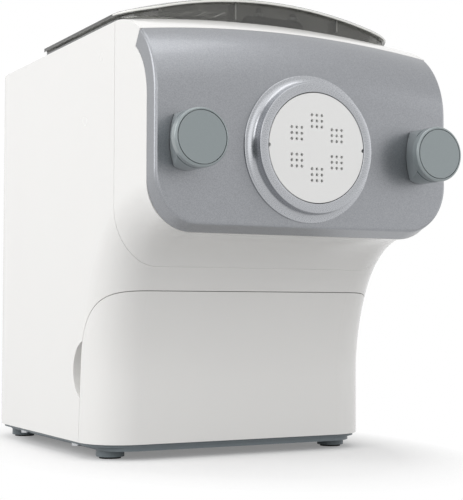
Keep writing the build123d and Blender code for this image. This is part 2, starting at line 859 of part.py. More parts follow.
def chin_form(inset):
    """All that lies above the panel's sloping underside, with the rounded lower corners."""
    reach = half - inset
    lean = panel_chin / panel_depth
    front = panel_face_y - panel_depth
    back = panel_back_y + roll_r
    low = head_z + inset
    outline = polygon_face([(front, low + lean * (panel_back_y - front)), (back, low - lean * roll_r),
                            (back, far), (front, far)])
    solid = side_prism(outline, -reach, reach)
    low_edges = solid.faces().sort_by(Axis.Z)[0].edges()
    edges = [edge for edge in low_edges if abs(abs(edge.center().X) - reach) < 0.01]
    return fillet(edges, front_edge_r - inset)


def front_panel():
    """The silver cover over the head's front."""
    outer = crown_form(panel_slab(0, seam_gap, panel_turn)) & chin_form(0)
    hollow = crown_form(panel_slab(panel_wall, -panel_wall, hollow_turn)) & chin_form(panel_wall)
    panel = outer - hollow
    front_edges = [e for e in panel.edges() if is_panel_edge(e)]
    panel = fillet(front_edges, panel_bevel)
    panel = panel - cyl_y(0, axis_z, ring_bore_r + ring_neck + run_gap, -far, panel_back_y)
    return panel - [cyl_y(side * knob_x, axis_z, panel_stud_hole, -far, panel_back_y) for side in (-1, 1)]


def is_panel_edge(edge):
    """True for the outer edges of the panel's flat front and for the sides of its roll."""
    middle = edge.center()
    rise = middle.Z - (roll_c[1] - crown_rise)
    on_face = abs(middle.Y - panel_face_y) < 0.01 and middle.Z < roll_c[1]
    on_side = abs(abs(middle.X) - half) < 0.01 and rise > 0
    return on_face or (on_side and math.hypot(middle.Y - roll_c[0], rise) > roll_r - panel_wall)


# ---------------------------------------------------------------- knobs
def knob_neck_solid(x):
    """The neck behind the knob's round head: two shallow flats that widen to the front."""
    shift = knob_neck_r - knob_neck
    left = Pos(shift, 0) * Circle(knob_neck_r)
    right = Pos(-shift, 0) * Circle(knob_neck_r)
    plane = Plane(origin=(x, knob_back_y, axis_z), x_dir=(1, 0, 0), z_dir=(0, -1, 0))
    lens = plane * (left & right)
    return extrude(lens, amount=knob_back_y - knob_face_y - knob_head, taper=-knob_neck_draft)


def knob(side):
    """One clamping knob, bored for its threaded insert, washer and cap."""
    x = side * knob_x
    neck = knob_neck_solid(x) & cyl_y(x, axis_z, knob_r, knob_face_y, knob_back_y)
    head = cyl_y(x, axis_z, knob_r, knob_face_y, knob_face_y + knob_head)
    rim = head.edges().filter_by(GeomType.CIRCLE)
    head = fillet(rim, knob_edge_r)
    body = head + neck
    body = body - cyl_y(x, axis_z, cap_r + cap_groove, knob_face_y - 1, knob_face_y + cap_depth + seat_gap)
    body = body - cyl_y(x, axis_z, insert_r + run_gap, insert_y - seat_gap, knob_back_y + 1)
    return body - cyl_y(x, axis_z, washer_r + move_gap, insert_y + insert_length, knob_back_y + 1)


def knob_cap(side):
    """The round cap let into the knob's face."""
    return cyl_y(side * knob_x, axis_z, cap_r, knob_face_y, knob_face_y + cap_depth)


def knob_insert(side):
    """The threaded brass bush in a knob."""
    return ring_y(side * knob_x, axis_z, insert_r, stud_r + run_gap, insert_y, insert_y + insert_length)


def knob_washer(side):
    """The captive washer between a knob and the panel."""
    y1 = knob_back_y
    return ring_y(side * knob_x, axis_z, washer_r, stud_r + run_gap, y1 - washer_depth, y1)


def knob_stud(side):
    """The steel stud that a knob screws on to, held behind the frame by its collar."""
    x = side * knob_x
    seat = panel_back_y + wall + seat_gap
    return cyl_y(x, axis_z, stud_r, stud_front_y, seat + 1) + cyl_y(x, axis_z, stud_collar_r, seat, seat + stud_collar)


# ---------------------------------------------------------------- lid
def lid_arch(inset):
    """The room under the lid's arched top, level behind and drooping to the front."""
    droop_c = (lid_front_y + lid_droop_length, height - droop_r)
    radius = droop_r - inset
    reach = lid_droop_length + lid_lip
    bend = math.asin(reach / radius)
    nose = (droop_c[0] - reach, droop_c[1] + radius * math.cos(bend))
    middle = (droop_c[0] - radius * math.sin(bend / 2), droop_c[1] + radius * math.cos(bend / 2))
    crest = (droop_c[0], height - inset)
    back = lid_back_y + lid_lip
    edges = [ThreePointArc(nose, middle, crest), Line(crest, (back, crest[1])),
             Line((back, crest[1]), (back, seat_z)), Line((back, seat_z), (nose[0], seat_z)),
             Line((nose[0], seat_z), nose)]
    return arched(make_face(edges), height, lid_arch_r, seat_z)


def lid_plan(inset):
    """The lid's outline from above, as an upright prism from its lower edge up."""
    return plan_plate(flange_half - inset, lid_front_y + inset, lid_back_y - inset, lid_corner_r - inset,
                      lid_back_r - inset, lid_bottom_z, far)


def lid_ear(side):
    """A knuckle at the back of the lid, inside its hinge post."""
    outer = side * (hinge_x - move_gap)
    inner = side * (hinge_x - move_gap - hinge_ear)
    low, high = min(outer, inner), max(outer, inner)
    ear = cyl_x(hinge_y, hinge_z, hinge_r, low, high)
    root_y = lid_back_y - lid_lip - lid_wall / 2
    arm = block(low, high, root_y, hinge_y, hinge_z - hinge_arm, hinge_z + hinge_arm)
    return ear + arm - cyl_x(hinge_y, hinge_z, hinge_pin_r + run_gap, low - 1, high + 1)


def lid_slots():
    """Slots for pouring water in through the lid."""
    start = -(slot_count - 1) / 2
    y = lid_front_y + slot_back
    slots = []
    for i in range(slot_count):
        x = slot_x + (start + i) * slot_pitch
        slots.append(block(x - slot_width / 2, x + slot_width / 2, y, y + slot_length, lid_bottom_z, far))
    return slots


def lid_shell():
    """The smoky arched lid: a top plate that stands out over an upright wall."""
    plate = (lid_plan(0) & lid_arch(0)) - lid_arch(lid_wall)
    skirt = (lid_plan(lid_lip) - lid_plan(lid_lip + lid_wall)) & lid_arch(lid_wall / 2)
    frame_crown = crown_form(top_face(-lid_clear)) & block(-far, far, -far, seam_y, 0, far)
    lid = plate + skirt - frame_crown
    return lid - lid_slots() + [lid_ear(side) for side in (-1, 1)]


def lid_grip():
    """The small arch inside the lid, which hangs from it by two posts."""
    y0 = seam_y + lid_grip_front
    z0 = lid_bottom_z
    z1 = z0 + lid_grip_height
    outer = Pos(lid_grip_x, (z0 + z1) / 2) * Rectangle(2 * lid_grip_half, z1 - z0)
    outer = fillet(outer.vertices().group_by(Axis.Y)[-1], lid_grip_wall * 2)
    inner_half_width = lid_grip_half - lid_grip_wall
    inner_top = z1 - lid_grip_wall
    inner = Pos(lid_grip_x, (z0 + inner_top) / 2) * Rectangle(2 * inner_half_width, inner_top - z0)
    inner = fillet(inner.vertices().group_by(Axis.Y)[-1], lid_grip_wall)
    grip = front_prism(outer - inner, y0, y0 + lid_grip_depth)
    room = lid_arch(lid_wall + run_gap)
    for x in (lid_grip_x - lid_post_left, lid_grip_x + lid_post_right):
        post = cyl_z(x, y0 + lid_grip_depth / 2, lid_post_r, z1 - lid_grip_wall / 2, height)
        grip = grip + (post & room)
    return grip


def hinge_pins():
    """Two short steel pins of the lid's hinge."""
    pins = []
    for side in (-1, 1):
        a = side * (hinge_x + hinge_ear)
        b = side * (hinge_x - move_gap - hinge_ear)
        pins.append(cyl_x(hinge_y, hinge_z, hinge_pin_r, min(a, b), max(a, b)))
    return pins


# ---------------------------------------------------------------- paddle, auger and shaft
def stirring_paddle():
    """The stirring arms on their hub."""
    y0 = auger_back_y + seat_gap
    y1 = chamber_back_y - chamber_wall - seal_lip - move_gap - seat_gap
    hub = cyl_y(0, axis_z, paddle_hub_r, y0, y1)
    pitch = (y1 - y0 - paddle_bar * 2) / (paddle_arms - 1)
    for i in range(paddle_arms):
        y = y0 + paddle_bar + i * pitch
        arm = Pos(0, y, axis_z) * Rot(0, 90 * i, 0) * Pos(0, 0, (paddle_r - paddle_bar) / 2) * Box(
            paddle_bar, paddle_bar, paddle_r - paddle_bar)
        foot = Pos(0, y, axis_z) * Rot(0, 90 * i, 0) * Pos(0, 0, paddle_r - paddle_bar * 1.5) * Box(
            paddle_bar * 2, pitch * paddle_foot, paddle_bar)
        hub = hub + arm + foot
    hub = hub & cyl_y(0, axis_z, paddle_r, y0, y1)
    return hub - hex_bar(hex_r + run_gap, y1 - hex_length - seat_gap, y1 + 1)


def hex_bar(radius, y0, y1):
    """A hexagonal bar along the drive axis."""
    return front_prism(Pos(0, axis_z) * RegularPolygon(radius, 6), y0, y1)


def auger():
    """The feed screw: a flat flight twisted about a core."""
    length = auger_back_y - auger_front_y
    section = (Circle(auger_core_r) + Rectangle(2 * auger_r, auger_flight)) & Circle(auger_r)
    twisted = Solid.extrude_linear_with_rotation(section.face(), (0, 0, 0), (0, 0, length), 360 * auger_turns)
    return Pos(0, auger_back_y, axis_z) * Rot(90, 0, 0) * twisted


def drive_shaft():
    """The steel shaft from the output gear into the chamber, with a hexagonal end."""
    hex_back = chamber_back_y - chamber_wall - seal_lip - move_gap - seat_gap
    shaft = cyl_y(0, axis_z, drive_shaft_r, hex_back, cover_back_y - seat_gap)
    return shaft + hex_bar(hex_r, hex_back - hex_length, hex_back + 1)


# ---------------------------------------------------------------- gears
def tooth_half_angle(teeth, module, radius):
    """Half the angle that a tooth spans at a radius, for an involute flank."""
    pitch_r = module * teeth / 2
    base_r = pitch_r * math.cos(pressure)
    at_pitch = math.tan(pressure) - pressure
    lean = math.acos(min(1.0, base_r / radius))
    here = math.tan(lean) - lean
    return math.pi / (2 * teeth) - tooth_play / (4 * pitch_r) + at_pitch - here


def gear_outline(teeth, module):
    """A closed outline of a spur gear, with one tooth centred on +X."""
    pitch_r = module * teeth / 2
    base_r = pitch_r * math.cos(pressure)
    tip_r = pitch_r + addendum * module
    root_r = pitch_r - dedendum * module
    low_r = max(base_r, root_r)
    radii = [low_r, (low_r + tip_r) / 2, tip_r]
    points = []
    for i in range(teeth):
        centre = 2 * math.pi * i / teeth
        spans = [tooth_half_angle(teeth, module, r) for r in radii]
        rising = [(root_r, -spans[0])] + [(r, -a) for r, a in zip(radii, spans)]
        if low_r - root_r < 0.01:
            rising = rising[1:]
        falling = [(r, -a) for r, a in reversed(rising)]
        for r, a in rising + falling:
            points.append((r * math.cos(centre + a), r * math.sin(centre + a)))
    return polygon_face(points)


def gear(teeth, module, z, turn_to, y0, y1):
    """A spur gear on the Y axis at height z, one tooth turned to an angle in degrees."""
    face = Pos(0, z) * Rot(0, 0, turn_to) * gear_outline(teeth, module)
    return front_prism(face, y0, y1)


def output_gear():
    """The large gear on the drive shaft."""
    wheel = gear(wheel_out_teeth, module_out, axis_z, -90 + 180 / wheel_out_teeth, gear_y, gear_y + gear_face)
    hub = cyl_y(0, axis_z, drive_shaft_r * 2, gear_y, gear_y + gear_face + gear_hub)
    return wheel + hub - cyl_y(0, axis_z, drive_shaft_r + run_gap, -far, far)


def idler_gear():
    """The compound gear between the motor and the output gear."""
    wheel_y = gear_y + gear_face + gear_step
    small = gear(pinion_teeth, module_out, idler_z, 90, gear_y, wheel_y + 1)
    large = gear(wheel_in_teeth, module_in, idler_z, -90 + 180 / wheel_in_teeth, wheel_y, wheel_y + gear_face)
    return small + large - cyl_y(0, idler_z, idler_shaft_r + run_gap, -far, far)


def motor_pinion():
    """The small gear on the rotor's shaft."""
    y0 = gear_y + gear_face + gear_step
    pinion = gear(pinion_teeth, module_in, motor_z, 90, y0, y0 + gear_face)
    return pinion - cyl_y(0, motor_z, rotor_shaft_r + run_gap, -far, far)


def idler_shaft():
    """The fixed steel pin that the idler gear turns on."""
    return cyl_y(0, idler_z, idler_shaft_r, case_y, cover_back_y)


def case_outline(grow):
    """The outline that clears all three gear axes."""
    discs = [(axis_z, out_tip_r), (idler_z, in_tip_r), (motor_z, pinion_tip_r)]
    shape = Sketch()
    for z, r in discs:
        shape = shape + Pos(0, z) * Circle(r + case_clear + grow)
    link = pinion_tip_r + case_clear + grow
    return shape + Pos(0, (idler_z + motor_z) / 2) * Rectangle(2 * link, idler_z - motor_z)


def case_lugs():
    """Round lugs that carry the gearbox screws."""
    lugs = Sketch()
    for x, z in gear_screw_points:
        lugs = lugs + Pos(x, z) * Circle(screw_head_r + case_wall / 2)
    return lugs


def gear_case():
    """The gearbox housing, open towards the motor."""
    outer = front_prism(case_outline(case_wall) + case_lugs(), case_y, cover_y - seat_gap)
    hollow = front_prism(case_outline(0), case_y + case_wall, far)
    case = outer - hollow - cyl_y(0, axis_z, bush_r + run_gap, -far, case_y + case_wall + 1)
    case = case - cyl_y(0, idler_z, idler_shaft_r + run_gap, -far, case_y + case_wall + 1)
    return case - gear_screw_bores()


def gear_cover():
    """The plate that closes the gearbox and carries the motor."""
    plate = front_prism(case_outline(case_wall) + case_lugs(), cover_y, cover_back_y)
    plate = plate - cyl_y(0, axis_z, bush_r + run_gap, -far, far)
    plate = plate - cyl_y(0, idler_z, idler_shaft_r + run_gap, -far, far)
    plate = plate - cyl_y(0, motor_z, motor_pilot_r + run_gap, -far, far)
    return plate - gear_screw_bores()


def gear_screw_bores():
    """Clearance holes for the gearbox screws."""
    return [cyl_y(x, z, screw_r + seat_gap, -far, far) for x, z in gear_screw_points]


def bush(y0, y1):
    """A sintered bush for the drive shaft."""
    return ring_y(0, axis_z, bush_r, drive_shaft_r + run_gap, y0, y1)


# ---------------------------------------------------------------- motor and fan
def motor_can():
    """The motor's steel can with its end plates."""
    can = cyl_y(0, motor_z, motor_r, motor_y, motor_y + motor_length)
    can = can + cyl_y(0, motor_z, motor_pilot_r, cover_y, motor_y + 1)
    can = can - cyl_y(0, motor_z, motor_r - motor_wall, motor_y + motor_wall, motor_y + motor_length - motor_wall)
    return can - cyl_y(0, motor_z, rotor_shaft_r + run_gap, -far, far)


def rotor():
    """The motor's shaft with its wound core."""
    y0 = gear_y + gear_face + gear_step
    core_y = motor_y + motor_wall + motor_end
    core_end = motor_y + motor_length - motor_wall - motor_end
    shaft = cyl_y(0, motor_z, rotor_shaft_r, y0, fan_y + fan_depth)
    core = cyl_y(0, motor_z, rotor_core_r, core_y, core_end)
    collector = cyl_y(0, motor_z, rotor_core_r / 2, core_y, core_end + motor_end / 2)
    return shaft + core + collector


def cooling_fan():
    """The fan behind the motor."""
    fan = cyl_y(0, motor_z, fan_hub_r, fan_y, fan_y + fan_depth)
    for i in range(fan_blades):
        blade = Box(fan_r - fan_hub_r / 2, fan_depth, fan_wall)
        place = Pos(0, fan_y + fan_depth / 2, motor_z) * Rot(0, i * 360 / fan_blades, 0)
        fan = fan + place * Pos((fan_r + fan_hub_r / 2) / 2, 0, 0) * Rot(fan_blade_turn, 0, 0) * blade
    fan = fan & cyl_y(0, motor_z, fan_r, fan_y, fan_y + fan_depth)
    return fan - cyl_y(0, motor_z, rotor_shaft_r + run_gap, -far, far)


def motor_bracket():
    """The clamp that holds the motor down on the base plate."""
    middle = motor_y + motor_length / 2
    y0, y1 = middle - bracket_depth / 2, middle + bracket_depth / 2
    ring = cyl_y(0, motor_z, motor_r + wall + seat_gap, y0, y1)
    foot = block(-bracket_half, bracket_half, y0, y1, base_top_z + seat_gap, motor_z)
    return ring + foot - cyl_y(0, motor_z, motor_r + seat_gap, -far, far)


# ---------------------------------------------------------------- controls and boards
def control_bezel():
    """The panel of buttons, let into the right side wall, with a lip behind the wall."""
    inside = inner_half - seat_gap
    plate = control_window(-seat_gap) & block(inside, half, -far, far, 0, far)
    lip = control_slab(bezel_lip, inside - bezel_depth, inside)
    posts = [cyl_x(y, z, post_r, control_board_x, inside - bezel_depth / 2) for y, z in board_post_points]
    bezel = plate + lip + posts
    bores = [cyl_x(y, control_z, button_r + button_gap, 0, far) for y in button_places]
    return bezel - bores - window_form(seat_gap)


def control_slab(grow, x0, x1):
    """A rectangle in line with the control window, between two X planes."""
    window = control_window(grow)
    box = window.bounding_box()
    return block(x0, x1, box.min.Y, box.max.Y, box.min.Z, box.max.Z)


def window_form(grow):
    """The display window's block in the bezel."""
    y0 = window_y - window_length / 2 - grow
    y1 = window_y + window_length / 2 + grow
    z0 = control_z - window_width / 2 - grow
    z1 = control_z + window_width / 2 + grow
    return block(half - window_depth - grow, half - button_recess + 2 * grow, y0, y1, z0, z1)


def push_button(y):
    """One push button with its collar behind the bezel."""
    collar_x = inner_half - seat_gap - bezel_depth - move_gap
    stem = cyl_x(y, control_z, button_r, collar_x - button_stem, half - button_recess)
    return stem + cyl_x(y, control_z, button_r + button_collar, collar_x - button_collar, collar_x)


def control_board():
    """The board behind the buttons, with a switch dome under each."""
    reach = control_length / 2 - wall
    board = block(control_board_x - board_wall, control_board_x - seat_gap, control_y - reach, control_y + reach,
                  control_z - control_width / 2, control_z + control_width / 2)
    domes = [cyl_x(y, control_z, dome_r, control_board_x - board_wall, dome_x) for y in button_places]
    chip = block(control_board_x - board_wall * 2, control_board_x - board_wall, control_y - chip_half,
                 control_y + chip_half, control_z - chip_half, control_z + chip_half)
    return board + domes + chip


def power_board():
    """The mains board on the left wall, with a capacitor, a relay and a heat sink."""
    y0, y1 = power_y, power_y + power_length
    z0, z1 = power_z, power_z + power_width
    board = block(power_board_x + seat_gap, power_board_x + seat_gap + board_wall, y0, y1, z0, z1)
    face = power_board_x + seat_gap + board_wall / 2
    part_r = power_part / 2
    capacitor = cyl_z(face + part_r, (y0 + y1) / 2, part_r, z0 + part_r, z0 + part_r * 4)
    relay = block(face, face + power_part, y0 + part_r, y0 + part_r * 3, z1 - power_part * 2, z1 - power_part)
    sink = block(face, face + power_part, y1 - part_r * 3, y1 - part_r, z1 - power_part * 2, z1 - part_r)
    return board + capacitor + relay + sink


def cord_gland():
    """The gland in the rear cover that the mains lead comes in by."""
    sleeve = cyl_y(gland_x, gland_z, gland_r - run_gap, rear_y - wall - gland_lip, rear_y - seat_gap)
    collar = cyl_y(gland_x, gland_z, gland_r + gland_lip, rear_y - wall - seat_gap - gland_lip,
                   rear_y - wall - seat_gap)
    return sleeve + collar - cyl_y(gland_x, gland_z, gland_bore_r, 0, far)


def lid_switch():
    """The sealed safety switch that feels the closed lid."""
    y0 = bulkhead_y + bulkhead_depth + seat_gap
    z1 = seat_z - wall - seat_gap
    return block(switch_x, switch_x + switch_length, y0, y0 + switch_depth, z1 - switch_height, z1)


# ---------------------------------------------------------------- fasteners
def foot_screws():
    """Screws that hold the feet to the base plate."""
    z = pad_height + seat_gap + screw_head
    return [screw_z(x, y, z, base_top_z - z - seat_gap) for x, y in foot_points]


def base_screws():
    """Screws that hold the base plate to the housing, with their heads under its thin sheet."""
    return [screw_z(x, y, base_lip_z, screw_length) for x, y in base_screw_points]


def cover_screws():
    """Screws that hold the rear cover to the chassis posts."""
    return [screw_y(x, z, rear_y - wall, screw_length) for x, z in cover_screw_points]


def gearbox_screws():
    """Screws that hold the gearbox to the bulkhead."""
    length = cover_back_y - bulkhead_y - bulkhead_depth / 2
    return [screw_y(x, z, cover_back_y, length) for x, z in gear_screw_points]


# ---------------------------------------------------------------- the assembly
def build():
    """Write every node."""
    os.makedirs("parts", exist_ok=True)
    shell = body_shell()
    nodes = {
        "main_housing": main_housing(shell),
        "front_frame": front_frame(shell),
        "rear_cover": rear_cover(shell),
        "drawer_front": drawer_front(shell),
        "drawer_tray": drawer_tray(),
        "chassis": chassis(),
        "base_plate": base_plate(),
        "feet": feet(),
        "foot_pads": foot_pads(),
        "foot_screws": foot_screws(),
        "mixing_chamber": mixing_chamber(),
        "extrusion_tube": extrusion_tube(),
        "tube_seal": seal_ring(0),
        "shaft_seal": shaft_seal(),
        "shaping_disc": shaping_disc(),
        "die_ring": die_ring(),
        "front_panel": front_panel(),
        "lid_shell": lid_shell(),
        "lid_grip": lid_grip(),
        "hinge_pins": hinge_pins(),
        "stirring_paddle": stirring_paddle(),
        "auger": auger(),
        "drive_shaft": drive_shaft(),
        "output_gear": output_gear(),
        "idler_gear": idler_gear(),
        "idler_shaft": idler_shaft(),
        "motor_pinion": motor_pinion(),
        "rotor": rotor(),
        "cooling_fan": cooling_fan(),
        "motor_can": motor_can(),
        "motor_bracket": motor_bracket(),
        "gear_case": gear_case(),
        "gear_cover": gear_cover(),
        "front_bush": bush(bulkhead_y, case_y + case_wall),
        "rear_bush": bush(cover_y, cover_back_y),
        "power_board": power_board(),
        "control_board": control_board(),
        "control_bezel": control_bezel(),
        "display_window": window_form(0),
        "cord_gland": cord_gland(),
        "lid_switch": lid_switch(),
        "base_screws": base_screws(),
        "cover_screws": cover_screws(),
        "gearbox_screws": gearbox_screws(),
    }
    for side, word in ((-1, "left"), (1, "right")):
        nodes["knob_" + word] = knob(side)
        nodes["knob_cap_" + word] = knob_cap(side)
        nodes["knob_insert_" + word] = knob_insert(side)
        nodes["knob_washer_" + word] = knob_washer(side)
        nodes["knob_stud_" + word] = knob_stud(side)
    for y, word in zip(button_places, ("power", "portion", "extrude", "start")):
        nodes[word + "_button"] = push_button(y)
    for node, shape in nodes.items():
        solids = Part() + shape if isinstance(shape, list) else shape
        save(node, solids)


build()
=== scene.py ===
"""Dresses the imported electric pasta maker: finishes, fine trim, studio and camera.

The machine's lengths are in millimetres in the code and become metres in the meshes, and
the studio's are in metres. The front looks along -Y, Z is up and the origin is on the floor.
"""
from __future__ import annotations

import logging
import math
from dataclasses import dataclass
from enum import Enum
from typing import Callable, Sequence, Union

import bmesh
import bpy
from mathutils import Matrix, Vector

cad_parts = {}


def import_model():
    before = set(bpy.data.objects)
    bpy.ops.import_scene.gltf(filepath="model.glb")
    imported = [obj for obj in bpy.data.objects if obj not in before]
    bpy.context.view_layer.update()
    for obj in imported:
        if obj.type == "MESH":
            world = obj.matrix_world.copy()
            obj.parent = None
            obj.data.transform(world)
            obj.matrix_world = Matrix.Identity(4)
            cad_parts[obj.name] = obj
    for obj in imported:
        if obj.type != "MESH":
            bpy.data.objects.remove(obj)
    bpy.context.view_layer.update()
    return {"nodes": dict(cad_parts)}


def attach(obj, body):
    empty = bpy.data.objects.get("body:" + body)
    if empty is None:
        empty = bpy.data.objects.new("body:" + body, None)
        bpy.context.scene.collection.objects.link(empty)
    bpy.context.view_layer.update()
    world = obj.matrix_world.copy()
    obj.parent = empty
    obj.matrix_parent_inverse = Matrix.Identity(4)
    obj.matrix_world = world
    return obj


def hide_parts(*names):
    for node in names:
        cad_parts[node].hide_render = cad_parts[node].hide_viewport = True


MM = 0.001
SHARP = math.radians(32.0)
Rgb = tuple[float, float, float]
Point = tuple[float, float, float]
log = logging.getLogger("pasta_maker")


# ------------------------------------------------------------------ names
class Ride(Enum):
    """The moving bodies that a piece can ride on."""

    BASE = "base"
    LID = "lid"
    PANEL = "panel"
    POWER = "power"
    PORTION = "portion"
    EXTRUDE = "extrude"
    START = "start"


class Slot(Enum):
    """The record's finishes, one named with each new piece."""

    SILVER = "silver_panel"
    SMOKE = "smoky_lid"
    STEEL = "steel"
    INNER = "inner_plastic"
    BUTTON = "button_grey"
    DARK = "control_dark"
    WINDOW = "window_black"


# ------------------------------------------------------------------ shader building
def linear(rgb: Rgb) -> tuple[float, float, float, float]:
    """Turns a display colour of 0 to 255 into a linear RGBA value.

    Args:
        rgb: Red, green and blue as a screen shows them.

    Returns:
        The colour as Blender's sockets take it.
    """
    def channel(value: float) -> float:
        """One channel, by the sRGB curve."""
        c = value / 255.0
        return c / 12.92 if c <= 0.04045 else ((c + 0.055) / 1.055) ** 2.4

    return (channel(rgb[0]), channel(rgb[1]), channel(rgb[2]), 1.0)


class Wire:
    """A value in a node tree that Python operators can do sums with."""

    def __init__(self, graph: "Graph", socket: bpy.types.NodeSocket) -> None:
        """Keeps the tree and the output socket."""
        self.graph = graph
        self.socket = socket

    def _sum(self, operation: str, a: "Term", b: "Term") -> "Wire":
        """Adds one Math node and gives its output."""
        node = self.graph.make("ShaderNodeMath", {"operation": operation}, {0: a, 1: b})
        return Wire(self.graph, node.outputs[0])

    def __add__(self, other: "Term") -> "Wire":
        """self + other"""
        return self._sum("ADD", self, other)

    def __radd__(self, other: "Term") -> "Wire":
        """other + self"""
        return self._sum("ADD", other, self)

    def __sub__(self, other: "Term") -> "Wire":
        """self - other"""
        return self._sum("SUBTRACT", self, other)

    def __rsub__(self, other: "Term") -> "Wire":
        """other - self"""
        return self._sum("SUBTRACT", other, self)

    def __mul__(self, other: "Term") -> "Wire":
        """self * other"""
        return self._sum("MULTIPLY", self, other)

    def __rmul__(self, other: "Term") -> "Wire":
        """other * self"""
        return self._sum("MULTIPLY", other, self)

    def __gt__(self, other: "Term") -> "Wire":
        """1 where self is more than other, else 0"""
        return self._sum("GREATER_THAN", self, other)


Term = Union[Wire, float, Sequence[float]]


class Graph:
    """The node tree of one material or of the world."""

    def __init__(self, owner: Union[bpy.types.Material, bpy.types.World]) -> None:
        """Empties the owner's tree and keeps it."""
        owner.use_nodes = True
        self.owner = owner
        self.tree = owner.node_tree
        self.tree.nodes.clear()

    @classmethod
    def named(cls, name: str) -> "Graph":
        """The tree of a new material."""
        return cls(bpy.data.materials.new(name))

    def make(self, kind: str, settings: dict, inputs: dict) -> bpy.types.Node:
        """Adds a node.

        Args:
            kind: Blender's name of the node type.
            settings: Properties of the node, set before its sockets.
            inputs: Socket name or number to a value or a Wire.

        Returns:
            The new node.
        """
        node = self.tree.nodes.new(kind)
        for key, value in settings.items():
            setattr(node, key, value)
        for key, value in inputs.items():
            if isinstance(value, Wire):
                self.tree.links.new(value.socket, node.inputs[key])
            else:
                node.inputs[key].default_value = value
        return node

    def place(self) -> Wire:
        """The object's own coordinates."""
        return Wire(self, self.make("ShaderNodeTexCoord", {}, {}).outputs["Object"])

    def mapped(self, centre: Point, scale: Point) -> Wire:
        """Object coordinates moved to a centre and scaled along each axis."""
        moved = self.make("ShaderNodeVectorMath", {"operation": "SUBTRACT"},
                          {0: self.place(), 1: [c * MM for c in centre]})
        scaled = self.make("ShaderNodeVectorMath", {"operation": "MULTIPLY"},
                           {0: Wire(self, moved.outputs[0]), 1: scale})
        return Wire(self, scaled.outputs[0])

    def noise(self, scale: float, detail: float = 2.0, vector: Wire | None = None) -> Wire:
        """Soft noise from 0 to 1."""
        node = self.make("ShaderNodeTexNoise", {}, {"Vector": vector or self.place(), "Scale": scale,
                                                    "Detail": detail})
        return Wire(self, node.outputs[0])

    def cells(self, scale: float) -> Wire:
        """One random value in each small cell, as in metal flakes."""
        node = self.make("ShaderNodeTexVoronoi", {}, {"Vector": self.place(), "Scale": scale})
        split = self.make("ShaderNodeSeparateColor", {}, {"Color": Wire(self, node.outputs["Color"])})
        return Wire(self, split.outputs[0])

    def blend(self, share: Term, low: Sequence[float], high: Sequence[float]) -> Wire:
        """A colour between two, by a share from 0 to 1."""
        node = self.make("ShaderNodeMix", {"data_type": "RGBA"}, {0: share, 6: low, 7: high})
        return Wire(self, node.outputs[2])

    def bump(self, height: Wire, strength: float, depth_mm: float) -> Wire:
        """A normal raised by a height."""
        node = self.make("ShaderNodeBump", {}, {"Strength": strength, "Distance": depth_mm * MM,
                                                "Height": height})
        return Wire(self, node.outputs[0])

    def shade(self, inputs: dict) -> bpy.types.Material:
        """Ends the tree in a Principled shader with these inputs."""
        shader = self.make("ShaderNodeBsdfPrincipled", {}, inputs)
        self.make("ShaderNodeOutputMaterial", {}, {"Surface": Wire(self, shader.outputs[0])})
        return self.owner

    def mix(self, share: Term, low: bpy.types.Node, high: bpy.types.Node) -> bpy.types.Node:
        """A shader between two, by a share from 0 to 1."""
        return self.make("ShaderNodeMixShader", {}, {0: share, 1: Wire(self, low.outputs[0]),
                                                     2: Wire(self, high.outputs[0])})


# ------------------------------------------------------------------ finishes
@dataclass(frozen=True)
class Moulded:
    """Moulded plastic or rubber with a fine skin."""

    name: str
    colour: Rgb
    roughness: float
    coat: float = 0.0
    skin_scale: float = 900.0
    skin_depth: float = 0.02
    skin_strength: float = 0.25
    mottle: float = 0.03
    cloud_scale: float = 14.0
    swing: float = 0.06
    coat_roughness: float = 0.12

    def material(self) -> bpy.types.Material:
        """The finish as a material."""
        graph = Graph.named(self.name)
        base = linear(self.colour)
        dull = [c * (1.0 - self.mottle) for c in base[:3]] + [1.0]
        cloud = graph.noise(self.cloud_scale, detail=3.0)
        skin = graph.noise(self.skin_scale, detail=2.0)
        return graph.shade({
            "Base Color": graph.blend(cloud, dull, base),
            "Roughness": cloud * self.swing + (self.roughness - self.swing / 2),
            "Normal": graph.bump(skin, self.skin_strength, self.skin_depth),
            "Coat Weight": self.coat,
            "Coat Roughness": self.coat_roughness,
        })


@dataclass(frozen=True)
class Flake:
    """Metallic paint with fine flakes under a clear coat."""

    name: str
    colour: Rgb
    metal: float = 0.90
    roughness: float = 0.36
    flake_scale: float = 5200.0
    spread: float = 0.05
    flake_strength: float = 0.05
    flake_depth: float = 0.004
    swing: float = 0.06
    coat: float = 0.25
    coat_roughness: float = 0.10

    def material(self) -> bpy.types.Material:
        """The finish as a material."""
        graph = Graph.named(self.name)
        base = linear(self.colour)
        low = [c * (1.0 - self.spread) for c in base[:3]] + [1.0]
        high = [min(1.0, c * (1.0 + self.spread)) for c in base[:3]] + [1.0]
        flakes = graph.cells(self.flake_scale)
        return graph.shade({
            "Base Color": graph.blend(flakes, low, high),
            "Metallic": self.metal,
            "Roughness": flakes * self.swing + (self.roughness - self.swing / 2),
            "Normal": graph.bump(flakes, self.flake_strength, self.flake_depth),
            "Coat Weight": self.coat,
            "Coat Roughness": self.coat_roughness,
        })


